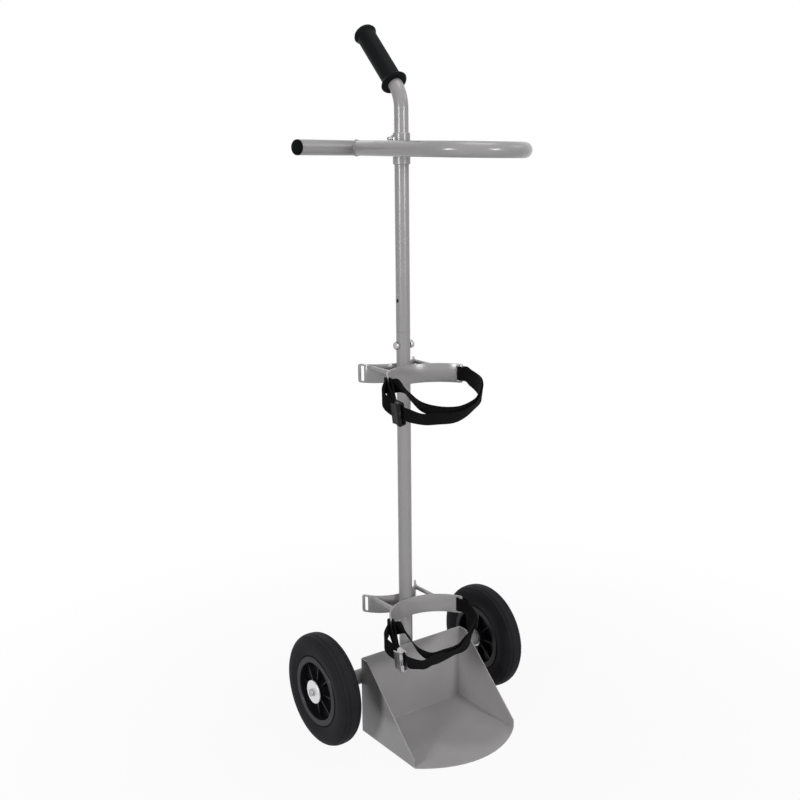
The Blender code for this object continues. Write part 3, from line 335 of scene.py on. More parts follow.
finishes = {
    "greyCoat": {       # satin powder coat on steel
        "dark": (0.288, 0.280, 0.283), "light": (0.310, 0.302, 0.305),
        "roughness": (0.20, 0.27), "metallic": 0.0, "specular": 0.46,
        "cloudScale": 22, "grainScale": 1400, "cloudShare": 0.7, "bump": 0.12, "bumpDepth": 0.0004,
        "edge": (0.42, 0.41, 0.41), "edgeRadius": 0.0006},
    "zincPlate": {
        "dark": (0.36, 0.35, 0.36), "light": (0.50, 0.49, 0.50),
        "roughness": (0.28, 0.44), "metallic": 1.0,
        "cloudScale": 60, "grainScale": 2200, "cloudShare": 0.55, "bump": 0.10, "bumpDepth": 0.0002},
    "darkPlate": {      # blackened pin and spring
        "dark": (0.03, 0.03, 0.031), "light": (0.05, 0.05, 0.051),
        "roughness": (0.36, 0.50), "metallic": 0.6,
        "cloudScale": 60, "grainScale": 2200, "cloudShare": 0.55, "bump": 0.10, "bumpDepth": 0.0002},
    "hubPlate": {       # dull plated disc over the hub
        "dark": (0.82, 0.81, 0.82), "light": (0.91, 0.90, 0.91),
        "roughness": (0.38, 0.52), "metallic": 0.25,
        "cloudScale": 40, "grainScale": 2500, "cloudShare": 0.5, "bump": 0.10, "bumpDepth": 0.0002},
    "tyreRubber": {
        "dark": (0.0095, 0.0095, 0.0118), "light": (0.019, 0.019, 0.022),
        "roughness": (0.58, 0.78), "metallic": 0.0, "specular": 0.09,
        "cloudScale": 30, "grainScale": 1300, "cloudShare": 0.6, "bump": 0.22, "bumpDepth": 0.0004},
    "gripRubber": {
        "dark": (0.0035, 0.0042, 0.0044), "light": (0.0065, 0.0076, 0.008),
        "roughness": (0.48, 0.62), "metallic": 0.0, "specular": 0.055,
        "cloudScale": 45, "grainScale": 1100, "cloudShare": 0.4, "bump": 0.30, "bumpDepth": 0.0005},
    "deepBlack": {      # moulded end plug
        "dark": (0.002, 0.0026, 0.0026), "light": (0.004, 0.005, 0.005),
        "roughness": (0.42, 0.55), "metallic": 0.0, "specular": 0.03,
        "cloudScale": 35, "grainScale": 1900, "cloudShare": 0.5, "bump": 0.10, "bumpDepth": 0.0003},
    "blackMould": {     # moulded rim
        "dark": (0.0075, 0.0072, 0.0092), "light": (0.015, 0.0145, 0.018),
        "roughness": (0.28, 0.38), "metallic": 0.0, "specular": 0.17,
        "cloudScale": 35, "grainScale": 1900, "cloudShare": 0.5, "bump": 0.12, "bumpDepth": 0.0003},
    "paleNylon": {
        "dark": (0.40, 0.40, 0.38), "light": (0.48, 0.48, 0.46),
        "roughness": (0.42, 0.55), "metallic": 0.0,
        "cloudScale": 60, "grainScale": 1500, "cloudShare": 0.5, "bump": 0.08, "bumpDepth": 0.0002},
    "blackCoat": {      # painted buckle, rubbed along its edges
        "dark": (0.005, 0.005, 0.0055), "light": (0.009, 0.009, 0.0095),
        "roughness": (0.34, 0.50), "metallic": 0.0, "specular": 0.16,
        "cloudScale": 80, "grainScale": 2000, "cloudShare": 0.5, "bump": 0.15, "bumpDepth": 0.0002,
        "edge": (0.05, 0.05, 0.05), "edgeRadius": 0.0005},
}
coats = {name: grainyFinish(name, look) for name, look in finishes.items()}


webbingFinish = {
    "dark": (0.0025, 0.0025, 0.0027), "light": (0.009, 0.009, 0.0095),
    "rough": 0.85, "specular": 0.04, "sheen": 0.02, "sheenRough": 0.5, "bump": 0.6, "bumpDepth": 0.0004,
}


def makeWebbingFinish(look):
    material, tree, shader, place = startMaterial("blackWebbing", 0.0, look["specular"])
    weave = useGroup(tree, webbingWeave, place.outputs["UV"])
    # the webbing's colour follows the weave's tone: painted shade in the hollows between cords, painted
    # light on the crowns, broken up by random fuzz
    colour = colourMix(tree, weave["Tone"], look["dark"], look["light"])
    tree.links.new(colour, shader.inputs["Base Color"])
    shader.inputs["Roughness"].default_value = look["rough"]
    shader.inputs["Sheen Weight"].default_value = look["sheen"]
    shader.inputs["Sheen Roughness"].default_value = look["sheenRough"]
    addBump(tree, shader, weave["Height"], look["bump"], look["bumpDepth"])
    return material


coats["blackWebbing"] = makeWebbingFinish(webbingFinish)
print("materials ready:", len(coats))


# every stiff node is copied, merged and smoothed, and takes its finish; turned pieces and bent tubes are
# rounded out, and folded sheet and hex heads get rounded edges
nodeFinish = {
    "tray": "greyCoat", "axle_tube": "greyCoat", "lower_column": "greyCoat", "column_spigot": "greyCoat",
    "upper_column": "greyCoat", "hoop_sleeve": "greyCoat", "hoop_tube": "greyCoat",
    "axle_rod": "zincPlate", "column_bolt": "zincPlate", "column_nut": "zincPlate",
    "hoop_clamp_nut": "zincPlate", "hoop_clamp_screw": "zincPlate",
    "handle_grip": "gripRubber", "hoop_end_plug": "deepBlack",
}
for level in ("upper", "lower"):
    for part in ("front_saddle", "rear_saddle", "brace_left", "brace_right"):
        nodeFinish[f"{level}_{part}"] = "greyCoat"
    for part in ("buckle_frame", "cam_lever"):
        nodeFinish[f"{level}_{part}"] = "blackCoat" if level == "upper" else "zincPlate"
    for part in ("buckle_pin", "cam_spring"):
        nodeFinish[f"{level}_{part}"] = "darkPlate" if level == "upper" else "zincPlate"
for side in ("left", "right"):
    nodeFinish[f"{side}_tyre"] = "tyreRubber"
    nodeFinish[f"{side}_rim"] = "blackMould"
    nodeFinish[f"{side}_hub_bush"] = "paleNylon"
    nodeFinish[f"{side}_hub_washer"] = "hubPlate"
    nodeFinish[f"{side}_axle_bolt"] = "zincPlate"
    nodeFinish[f"{side}_spacer_washer"] = "zincPlate"

softCorners = {         # edge rounding in metres on folded sheet and on hex heads
    "tray": 0.0004, "upper_front_saddle": 0.0005, "upper_rear_saddle": 0.0005,
    "lower_front_saddle": 0.0005, "lower_rear_saddle": 0.0005, "column_bolt": 0.0004,
    "column_nut": 0.0004, "hoop_clamp_nut": 0.0003, "left_axle_bolt": 0.0004, "right_axle_bolt": 0.0004,
}
dressLook = {"merge": 0.00001, "flatAngle": 1, "cuts": 2, "roundSegments": 2, "roundAngle": 50}


def giveFinish(obj, finish):
    obj.data.materials.clear()
    obj.data.materials.append(coats[finish])


# the solids' own measures, for rounding their facets and placing what is added
columnY = 0.09775       # column axis
axlePlace = (0.09375, 0.1015)       # y and z
tubeRadius, tubeBore, sleeveRadius, axleRadius = 0.0125, 0.0105, 0.015, 0.01345
hoopLook = {"z": 1.0445, "slant": 10, "roll": 1.0, "pitch": 0.7, "half": 0.086, "reach": 0.268,
            "armReach": 0.2095, "bend": 0.056, "clampRise": 0.0165, "bendSteps": 8, "gap": 0.0003}
handleLook = {"jointZ": 0.7303, "bendZ": 1.110, "bend": 0.058, "lean": 45, "tubeInGrip": 0.1242,
              "bendSteps": 8}
spineLook = {"straightRatio": 3, "slack": 1e-5, "wallMiss": 0.0005}
tubeFacets, wheelFacets = 20, 36        # round the solids
hoopSlant = math.radians(hoopLook["slant"])
hoopLevel = (Matrix.Translation((0, columnY, hoopLook["z"]))
             @ Matrix.Rotation(math.radians(hoopLook["roll"]), 4, "Y")
             @ Matrix.Rotation(math.radians(hoopLook["pitch"]), 4, "X"))
armTouch = sleeveRadius + hoopLook["gap"] + tubeRadius     # arm's axis from the column's axis


def armY(x):
    return armTouch / math.cos(hoopSlant) + x * math.tan(hoopSlant)


def arcPoints(centre, radius, start, end, steps):
    points = []
    for i in range(steps + 1):
        t = start + (end - start) * i / steps
        points.append(Vector((centre[0] + radius * math.cos(t), centre[1] + radius * math.sin(t), 0)))
    return points


def hoopSpine():
    look = hoopLook
    half, r, steps = look["half"], look["bend"], look["bendSteps"]
    turn = math.pi / 2 + hoopSlant
    along = Vector((math.cos(hoopSlant), math.sin(hoopSlant), 0))
    bendIn = Vector((half, armY(half), 0)) - r * math.tan(turn / 2) * along
    points = [Vector((-look["armReach"], armY(-look["armReach"]), 0))]
    points += arcPoints(bendIn + r * Vector((along.y, -along.x, 0)), r, turn, 0, steps)
    points += arcPoints((0, half - look["reach"]), half, 0, -math.pi, 2 * steps)
    points.append(Vector((-half, armY(-half) - 2 * tubeRadius, 0)))
    return [hoopLevel @ point for point in points]


def columnSpine():
    look = handleLook
    lean = math.radians(look["lean"])
    bendStart = Vector((0, columnY, look["bendZ"]))
    points = [Vector((0, columnY, look["jointZ"])), bendStart]
    for i in range(1, look["bendSteps"] + 1):
        angle = lean * i / look["bendSteps"]
        points.append(bendStart + look["bend"] * Vector((0, 1 - math.cos(angle), math.sin(angle))))
    points.append(points[-1] + look["tubeInGrip"] * Vector((0, math.sin(lean), math.cos(lean))))
    return points


bentTubes = {"upper_column": columnSpine(), "hoop_tube": hoopSpine()}
axleLine = Matrix.Translation((0, *axlePlace)) @ Matrix.Rotation(math.pi / 2, 4, "Y")
columnLine = Matrix.Translation((0, columnY, 0))
gripTurn = Matrix.Rotation(-math.radians(handleLook["lean"]), 4, "X")
gripLine = Matrix.Translation(bentTubes["upper_column"][-2]) @ gripTurn
armOut = Vector((-math.cos(hoopSlant), -math.sin(hoopSlant), 0))
plugLine = Matrix.Translation(bentTubes["hoop_tube"][0]) @ (
    hoopLevel.to_3x3() @ armOut.to_track_quat("Z", "Y").to_matrix()).to_4x4()
turnedPieces = {        # axis and number of facets in the solid
    "axle_tube": (axleLine, tubeFacets), "axle_rod": (axleLine, tubeFacets),
    "lower_column": (columnLine, tubeFacets), "hoop_sleeve": (columnLine, tubeFacets),
    "handle_grip": (gripLine, tubeFacets), "hoop_end_plug": (plugLine, tubeFacets),
}
for side in ("left", "right"):
    for part in ("tyre", "rim"):
        turnedPieces[f"{side}_{part}"] = (axleLine, wheelFacets)
    for part in ("hub_washer", "spacer_washer", "hub_bush"):
        turnedPieces[f"{side}_{part}"] = (axleLine, tubeFacets)

# the photograph's tray bulges a little more in front than the solid
trayNose = {"front": -0.0795, "half": 0.115, "fuller": 0.009}


def fillNose(piece):
    for vertex in piece.data.vertices:
        if vertex.co.y < trayNose["front"]:
            share = max(0.0, 1 - (vertex.co.x / trayNose["half"]) ** 2)
            vertex.co.y -= trayNose["fuller"] * share


def divideFaces(piece):
    openMesh(piece)
    bpy.ops.mesh.subdivide(number_cuts=dressLook["cuts"])
    closeMesh()


def roundOut(piece, line, facets):
    # flat facets of a turned piece are divided and pushed out to the true circle
    divideFaces(piece)
    vertices = piece.data.vertices
    back = line.inverted()
    places = [back @ vertex.co for vertex in vertices]
    farthest = max(places, key=lambda place: place.x ** 2 + place.y ** 2)
    start = math.atan2(farthest.y, farthest.x)
    facet = 2 * math.pi / facets
    for vertex, place in zip(vertices, places):
        offset = (math.atan2(place.y, place.x) - start) % facet - facet / 2
        share = math.cos(offset) / math.cos(facet / 2)
        vertex.co = line @ Vector((place.x * share, place.y * share, place.z))


def spineTangents(points):
    # a bend takes its direction from the straight that it leaves or meets
    ratio = spineLook["straightRatio"]
    steps = [b - a for a, b in zip(points, points[1:])]
    tangents = [steps[0].normalized()]
    for before, after in zip(steps, steps[1:]):
        if before.length > ratio * after.length:
            tangents.append(before.normalized())
        elif after.length > ratio * before.length:
            tangents.append(after.normalized())
        else:
            tangents.append((before.normalized() + after.normalized()).normalized())
    tangents.append(steps[-1].normalized())
    return tangents


def nearSpine(place, points, tangents):
    # offset from the straight-sided spine, and the matching middle on the true curve
    best = None
    slack = spineLook["slack"]
    last = len(points) - 2
    for i in range(last + 1):
        p, q, tp, tq = points[i], points[i + 1], tangents[i], tangents[i + 1]
        ahead, behind = (place - p).dot(tp), (q - place).dot(tq)
        if (ahead < -slack and i > 0) or (behind < -slack and i < last):
            continue
        t = ahead / (ahead + behind)
        offset = place - p.lerp(q, t)
        miss = min(abs(offset.length - r) for r in (tubeRadius, tubeBore))
        if best is None or miss < best[0]:
            length = (q - p).length
            middle = ((2 * t ** 3 - 3 * t ** 2 + 1) * p + (t ** 3 - 2 * t ** 2 + t) * length * tp
                      + (3 * t ** 2 - 2 * t ** 3) * q + (t ** 3 - t ** 2) * length * tq)
            best = (miss, offset, middle)
    return best


def roundTube(piece, points):
    # a bent tube's facets go out to its true radius along the true curve
    divideFaces(piece)
    tangents = spineTangents(points)
    for vertex in piece.data.vertices:
        miss, offset, middle = nearSpine(vertex.co, points, tangents)
        if miss < spineLook["wallMiss"]:
            true = min((tubeRadius, tubeBore), key=lambda r: abs(offset.length - r))
            offset = offset.normalized() * true
        vertex.co = middle + offset


def dressNode(nodeName, finish):
    node = frame["nodes"][nodeName]
    piece = bpy.data.objects.new(nodeName + "_dressed", node.data.copy())
    bpy.context.scene.collection.objects.link(piece)
    pickOnly(piece)
    bpy.ops.mesh.customdata_custom_splitnormals_clear()
    openMesh(piece)
    bpy.ops.mesh.remove_doubles(threshold=dressLook["merge"])
    if nodeName in softCorners:
        bpy.ops.mesh.dissolve_limited(angle_limit=math.radians(dressLook["flatAngle"]))
    closeMesh()
    if nodeName == "tray":
        fillNose(piece)
    if nodeName in turnedPieces:
        roundOut(piece, *turnedPieces[nodeName])
    if nodeName in bentTubes:
        roundTube(piece, bentTubes[nodeName])
    if nodeName in softCorners:
        rounding = piece.modifiers.new("Rounding", "BEVEL")
        rounding.width = softCorners[nodeName]
        rounding.segments = dressLook["roundSegments"]
        rounding.limit_method = "ANGLE"
        rounding.angle_limit = math.radians(dressLook["roundAngle"])
        applyAll(piece)
    smoothEdges(piece)
    giveFinish(piece, finish)
    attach(piece, node["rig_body"])
    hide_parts(nodeName)


for name, finish in nodeFinish.items():
    dressNode(name, finish)
print("nodes dressed:", len(nodeFinish))


# webbing straps and the buckles' holding loops, in the photograph's slack shape
strapLook = {
    "width": 0.025, "thick": 0.0017, "step": 0.0022, "columns": 7, "easeTurns": 6,
    "edgeShare": 0.42, "edgeSegments": 3,
    "layerStep": 0.0030, "lead": 0.006, "leadAngle": 4, "leadOut": 0.001, "wrapSteps": 6,
    "returnDepth": 0.0026, "holderDepth": 0.0056, "intoBuckle": 0.0012,
    "turnStart": 0.012, "leftTurn": 0.036, "rightTurn": 0.034, "buckleTurn": 0.017,
    "buckleRoll": 10, "bucklePitch": 5, "bucklePlace": (-0.099, -0.125, -0.034), "buckleLength": 0.020,
    "saddleRadius": 0.0875, "saddleSheet": 0.003, "saddleHalfAngle": 66, "saddleCentreY": -0.1033,
    "slotInset": 0.0085, "slotWidth": 0.0065, "gap": 0.0006, "looseTurn": 1.75,
    "uprightAt": 56, "uprightSpan": 42, "uprightShare": 0.8,
}
slackRows = {
    "upper": {"z": 0.654, "lean": 32, "drop": 0.007, "loop": (-0.1075, -0.088, -0.014),
              "strand": ((-0.0755, -0.093, 0.003), (-0.0725, -0.117, -0.011), (-0.064, -0.138, -0.026),
                         (-0.047, -0.158, -0.033)),
              "front": ((0.080, -0.090, -0.003), (0.073, -0.120, -0.0095), (0.060, -0.143, -0.0175),
                        (0.038, -0.160, -0.0245), (0.011, -0.172, -0.031), (-0.020, -0.175, -0.0355)),
              "return": ((-0.052, -0.171, -0.0425), (-0.080, -0.160, -0.041))},
    "lower": {"z": 0.214, "lean": 36, "drop": 0.005, "loop": (-0.110, -0.088, -0.012),
              "strand": ((-0.0745, -0.092, 0.006), (-0.071, -0.112, -0.011), (-0.062, -0.127, -0.028),
                         (-0.046, -0.138, -0.039)),
              "front": ((0.082, -0.086, -0.006), (0.076, -0.103, -0.020), (0.061, -0.119, -0.032),
                        (0.038, -0.131, -0.039), (0.009, -0.138, -0.041), (-0.022, -0.143, -0.0395)),
              "return": ((-0.052, -0.154, -0.0375), (-0.080, -0.158, -0.037))},
}


def easedRoute(points, step):
    # centripetal curve through the points, about one step apart
    ends = [2 * points[0] - points[1]] + list(points) + [2 * points[-1] - points[-2]]
    route = []
    for a, b, c, d in zip(ends, ends[1:], ends[2:], ends[3:]):
        ta = 0.0
        tb = ta + math.sqrt((b - a).length)
        tc = tb + math.sqrt((c - b).length)
        td = tc + math.sqrt((d - c).length)
        count = max(1, round((c - b).length / step))
        for i in range(count):
            t = tb + (tc - tb) * i / count
            ab = a.lerp(b, (t - ta) / (tb - ta))
            bc = b.lerp(c, (t - tb) / (tc - tb))
            cd = c.lerp(d, (t - tc) / (td - tc))
            abc = ab.lerp(bc, (t - ta) / (tc - ta))
            bcd = bc.lerp(cd, (t - tb) / (td - tb))
            route.append(abc.lerp(bcd, (t - tb) / (tc - tb)))
    route.append(points[-1].copy())
    return route


def runLengths(route):
    # distance along the route at each of its points
    lengths = [0.0]
    for a, b in zip(route, route[1:]):
        lengths.append(lengths[-1] + (b - a).length)
    return lengths


def layGrid(name, count, columns):
    # a flat grid, with each point's station along a route and its place across
    clearPick()
    bpy.ops.mesh.primitive_grid_add(x_subdivisions=count - 1, y_subdivisions=columns - 1, size=1)
    grid = nameIt(name)
    stations = [(round((vertex.co.x + 0.5) * (count - 1)), vertex.co.y) for vertex in grid.data.vertices]
    return grid, stations


def ramp(value, start, end):
    return min(1.0, max(0.0, (value - start) / (end - start)))


def strapPoint(middleZ, place):
    return Vector((place[0], columnY + place[1], middleZ + place[2]))


def buckleMatrix(middleZ):
    level = Matrix((Vector((0, -1, 0)), Vector((0, 0, 1)), Vector((-1, 0, 0)))).transposed()
    nose = Matrix.Rotation(math.radians(strapLook["bucklePitch"]), 3, "X")
    lean = Matrix.Rotation(math.radians(-strapLook["buckleRoll"]), 3, "Y")
    place = Matrix.Translation(strapPoint(middleZ, strapLook["bucklePlace"]))
    return place @ (nose @ lean @ level).to_4x4()


def roundBar(middleZ, side, inward, layer=0, loose=1.0):
    look = strapLook
    middleR = look["saddleRadius"] + look["saddleSheet"] / 2
    half = math.radians(look["saddleHalfAngle"])
    barAngle = half - (look["slotInset"] - look["slotWidth"] / 2) / middleR
    lead = half + math.radians(look["leadAngle"])
    wrap = look["saddleSheet"] / 2 + look["gap"] + look["thick"] / 2
    wrap += layer * (look["thick"] + look["gap"])
    first = 1 if inward else -1
    places = [(first * (wrap + look["leadOut"]), lead)]
    for i in range(look["wrapSteps"] + 1):
        angle = math.pi * i / look["wrapSteps"]
        reach = loose * wrap * math.sin(angle) / middleR
        places.append((first * wrap * math.cos(angle), barAngle - reach))
    places.append((-first * (wrap + look["leadOut"]), lead))
    points = []
    for offset, angle in places:
        r = middleR + offset
        y = columnY + look["saddleCentreY"] + r * math.cos(angle)
        points.append(Vector((r * math.sin(side * angle), y, middleZ)))
    return points


def pastBar(point):
    # 0 round the saddle's bar, 1 where the slack has its full lean
    look = strapLook
    half = math.radians(look["saddleHalfAngle"])
    barY = columnY + look["saddleCentreY"] + look["saddleRadius"] * math.cos(half)
    turnEnd = look["leftTurn"] if point.x < 0 else look["rightTurn"]
    return ramp(point.y, barY - look["turnStart"], barY - turnEnd)


def fromMiddle(point):
    return Vector((point.x, point.y - columnY - strapLook["saddleCentreY"], 0)).normalized()


def strapLean(point, lean):
    look = strapLook
    buckleX = look["bucklePlace"][0]
    inner = ramp(point.x, buckleX, buckleX + look["buckleTurn"])
    away = fromMiddle(point)        # the slack stands up where it swings round to the front
    swing = abs(math.degrees(math.atan2(away.x, -away.y)) - look["uprightAt"]) / look["uprightSpan"]
    if swing < 1:
        lean *= 1 - look["uprightShare"] * (1 + math.cos(math.pi * swing)) / 2
    return math.radians(pastBar(point) * (inner * lean + (1 - inner) * look["buckleRoll"]))


def strapPoints(rows):
    middleZ = rows["z"]
    look = strapLook

    def layer(offset):
        shifted = []
        for number, row in enumerate(rows["front"]):
            p = strapPoint(middleZ, row)
            lean = strapLean(p, rows["lean"])
            p += offset * (math.cos(lean) * fromMiddle(p) - math.sin(lean) * Vector((0, 0, 1)))
            if offset > 0:
                p.z -= rows["drop"] * (number / (len(rows["front"]) - 1)) ** 2
            shifted.append(p)
        return shifted

    buckle = buckleMatrix(middleZ)
    half = look["buckleLength"] / 2
    lead = look["lead"]
    belt = [buckle @ Vector((x, 0, 0)) for x in (half - lead / 2, -half, -half - lead)]
    belt.append(strapPoint(middleZ, rows["loop"]))
    belt += roundBar(middleZ, -1, True, 1)
    belt += [strapPoint(middleZ, row) for row in rows["strand"]]
    belt += list(reversed(layer(-look["layerStep"] / 2)))
    belt += roundBar(middleZ, 1, False, 0, look["looseTurn"])
    belt += layer(look["layerStep"] / 2)
    belt += [strapPoint(middleZ, row) for row in rows["return"]]
    last = (half + lead, half - look["intoBuckle"])
    belt += [buckle @ Vector((x, 0, -look["returnDepth"])) for x in last]
    return belt


def holderPoints(rows):
    # short sewn loop from the buckle's rear round the left bar and back
    look = strapLook
    buckle = buckleMatrix(rows["z"])
    rear = -look["buckleLength"] / 2 + look["intoBuckle"]
    apart = look["thick"] / 2 + look["gap"]
    outer = [buckle @ Vector((x, 0, apart - look["holderDepth"])) for x in (rear, rear - look["lead"])]
    inner = [buckle @ Vector((x, 0, -apart - look["holderDepth"])) for x in (rear - look["lead"], rear)]
    return outer + roundBar(rows["z"], -1, True) + inner


def layWebbing(name, route, sides):
    # a grid is laid along the route, then thickened and rounded
    look = strapLook
    width = look["width"]
    strap, stations = layGrid(name, len(route), look["columns"])
    lengths = runLengths(route)
    mesh = strap.data
    for vertex, (i, v) in zip(mesh.vertices, stations):
        vertex.co = route[i] + sides[i] * v * width
    uv = mesh.uv_layers.active.data
    for loop in mesh.loops:
        i, v = stations[loop.vertex_index]
        uv[loop.index].uv = (lengths[i], v * width)
    mesh.update()
    body = strap.modifiers.new("Body", "SOLIDIFY")
    body.thickness = look["thick"]
    body.offset = 0
    edge = strap.modifiers.new("Edge", "BEVEL")
    edge.width = look["thick"] * look["edgeShare"]
    edge.segments = look["edgeSegments"]
    edge.limit_method = "ANGLE"
    edge.angle_limit = math.radians(softAngle)
    applyAll(strap)
    smoothEdges(strap, softAngle)
    giveFinish(strap, "blackWebbing")
    return strap


def makeWebbing(name, points, lean, node):
    route = easedRoute(points, strapLook["step"])
    sides = []
    for i, point in enumerate(route):
        a, b = route[max(0, i - 1)], route[min(len(route) - 1, i + 1)]
        tangent = (b - a).normalized()
        tilt = strapLean(point, lean)
        across = math.cos(tilt) * Vector((0, 0, 1)) + math.sin(tilt) * fromMiddle(point)
        sides.append((across - pastBar(point) * across.dot(tangent) * tangent).normalized())
    for turn in range(strapLook["easeTurns"]):      # the twist is eased along the strip
        eased = [(a + 2 * b + c).normalized() for a, b, c in zip(sides, sides[1:], sides[2:])]
        sides = [sides[0]] + eased + [sides[-1]]
    strap = layWebbing(name, route, sides)
    print(name, "length", round(runLengths(route)[-1], 3))
    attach(strap, "frame")
    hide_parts(node)


for level, rows in slackRows.items():
    makeWebbing(level + "_webbing", strapPoints(rows), rows["lean"], level + "_strap")
    makeWebbing(level + "_holding_loop", holderPoints(rows), strapLook["buckleRoll"], level + "_holder")
print("straps laid")


# weld beads where tubes, rods and sheet meet
weldLook = {
    "ripple": 0.10, "pitch": 0.0024, "around": 9, "turns": 40, "step": 0.0008, "merge": 0.00003,
    "taper": 1.5,       # length of a pointed end, in bead sizes
    "across": (0.31, 0.62, 0.72),       # in line with no straight bead
    "foot": 0.0021, "footProud": 0.0004, "footShoulder": 0.55,
    "leg": 0.0011, "legProud": 0.0003, "legReach": 0.0005,
    "sleeve": 0.0018, "sleeveWide": 0.0075, "sleeveHigh": 0.0065,
    "nut": 0.0010, "nutRadius": 0.0057, "nutProud": 0.0003,
}
saddleWeldLook = {
    "brace": 0.0011, "braceX": 0.048, "braceRise": 0.0115, "braceRadius": 0.0043, "braceProud": 0.0002,
    "seam": 0.0014, "seamX": 0.0055, "seamY": 0.0121, "seamHalf": 0.0135,
    "rows": (           # name, middle from the column, radius of the back, side that faces the column
        ("front", strapLook["saddleCentreY"], 0.0908, 1), ("rear", 0.0808, 0.0683, -1)),
}
trayWeldLook = {
    "size": 0.0016, "y": 0.0809,
    "rows": (           # height from the axle, and each bead's ends
        (0.0062, ((-0.098, -0.072), (-0.048, -0.022), (0.022, 0.048), (0.072, 0.098))),
        (-0.0062, ((-0.080, -0.050), (0.050, 0.080)))),
}


def layBead(name, route, size, ripple, middle=None, across=weldLook["across"]):
    # a grid is rolled round the route, rippled, and drawn to a point at open ends
    look = weldLook
    count = len(route)
    bead, stations = layGrid(name, count, look["around"])
    lengths = runLengths(route)
    rings = []
    for i, point in enumerate(route):
        if middle is None:
            tangent = route[min(count - 1, i + 1)] - route[max(0, i - 1)]
            side = Vector(across)
            toEnd = min(lengths[i], lengths[-1] - lengths[i])
            swell = math.sqrt(min(1.0, toEnd / (look["taper"] * size)))
        else:
            tangent = route[(i + 1) % (count - 1)] - route[(i - 1) % (count - 1)]
            side = point - middle
            swell = 1.0
        tangent.normalize()
        side = (side - side.dot(tangent) * tangent).normalized()
        radius = size * swell * (1 + ripple * math.sin(2 * math.pi * lengths[i] / look["pitch"]))
        rings.append((point, side, tangent.cross(side), radius))
    for vertex, (i, v) in zip(bead.data.vertices, stations):
        turn = 2 * math.pi * (v + 0.5)
        point, side, other, radius = rings[i]
        vertex.co = point + radius * (math.cos(turn) * side + math.sin(turn) * other)
    bead.data.update()
    openMesh(bead)
    bpy.ops.mesh.remove_doubles(threshold=look["merge"])
    bpy.ops.mesh.normals_make_consistent(inside=False)
    closeMesh()
    return bead


def ringBead(name, size, place):
    turns = weldLook["turns"]
    route = [place(2 * math.pi * (i % turns) / turns) for i in range(turns + 1)]
    middle = (place(0) + place(math.pi)) / 2
    return layBead(name, route, size, weldLook["ripple"], middle)


def lineBead(name, size, start, end):
    count = round((end - start).length / weldLook["step"])
    route = [start.lerp(end, i / count) for i in range(count + 1)]
    return layBead(name, route, size, weldLook["ripple"])


def joinBeads(name, beads, body):
    clearPick()
    for bead in beads:
        bead.select_set(True)
    bpy.context.view_layer.objects.active = beads[0]
    bpy.ops.object.join()
    joined = nameIt(name)
    smoothEdges(joined, softAngle)
    giveFinish(joined, "greyCoat")
    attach(joined, body)


def footPlace(angle):
    proud = weldLook["footProud"]
    x = (tubeRadius + proud) * math.cos(angle)
    y = columnY + (tubeRadius + proud) * math.sin(angle)
    rise = math.sqrt(max(0.0, axleRadius ** 2 - (y - axlePlace[0]) ** 2))
    return Vector((x, y, axlePlace[1] + max(rise, weldLook["footShoulder"] * axleRadius) + proud))


def saddleWelds(middleZ):
    look = saddleWeldLook
    beads = []
    for name, centre, reach, side in look["rows"]:
        for braceX in (-look["braceX"], look["braceX"]):
            def bracePlace(angle):
                x = braceX + look["braceRadius"] * math.cos(angle)
                y = columnY + centre + side * (math.sqrt(reach ** 2 - x ** 2) + look["braceProud"])
                return Vector((x, y, middleZ + look["braceRise"] + look["braceRadius"] * math.sin(angle)))
            beads.append(ringBead(name + "_rod_weld", look["brace"], bracePlace))
        for x in (-look["seamX"], look["seamX"]):
            foot = Vector((x, columnY - side * look["seamY"], middleZ - look["seamHalf"]))
            top = foot + Vector((0, 0, 2 * look["seamHalf"]))
            beads.append(lineBead(name + "_weld", look["seam"], foot, top))
    return beads


def trayWelds():
    look = trayWeldLook
    beads = []
    for rise, rows in look["rows"]:
        for row in rows:
            start, end = (Vector((x, look["y"], axlePlace[1] + rise)) for x in row)
            beads.append(lineBead("tray_weld", look["size"], start, end))
    return beads


def hoopWelds():
    look = weldLook
    cosine, sine = math.cos(hoopSlant), math.sin(hoopSlant)

    def legPlace(angle):
        x = -hoopLook["half"] + (tubeRadius + look["legProud"]) * math.cos(angle)
        z = (tubeRadius + look["legProud"]) * math.sin(angle)
        reach = math.sqrt(max(0.0, (tubeRadius + look["legReach"]) ** 2 - z ** 2)) / cosine
        return hoopLevel @ Vector((x, armY(x) - reach, z))

    def sleevePlace(angle):
        along, z = look["sleeveWide"] * math.cos(angle), look["sleeveHigh"] * math.sin(angle)
        onArm = armTouch - math.sqrt(tubeRadius ** 2 - z ** 2)
        between = (math.sqrt(sleeveRadius ** 2 - along ** 2) + onArm) / 2
        return hoopLevel @ Vector((along * cosine - between * sine, along * sine + between * cosine, z))

    def nutPlace(angle):
        y, z = look["nutRadius"] * math.cos(angle), look["nutRadius"] * math.sin(angle)
        x = -math.sqrt(sleeveRadius ** 2 - y ** 2) - look["nutProud"]
        return Vector((x, columnY + y, hoopLook["z"] + hoopLook["clampRise"] + z))

    places = {"leg": legPlace, "sleeve": sleevePlace, "nut": nutPlace}
    return [ringBead(name + "_weld", look[name], place) for name, place in places.items()]


frameWelds = [ringBead("foot_weld", weldLook["foot"], footPlace)]
for rows in slackRows.values():
    frameWelds += saddleWelds(rows["z"])
frameWelds += trayWelds()
joinBeads("frame_welds", frameWelds, "frame")
joinBeads("hoop_welds", hoopWelds(), frame["nodes"]["hoop_tube"]["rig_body"])
print("weld beads laid")


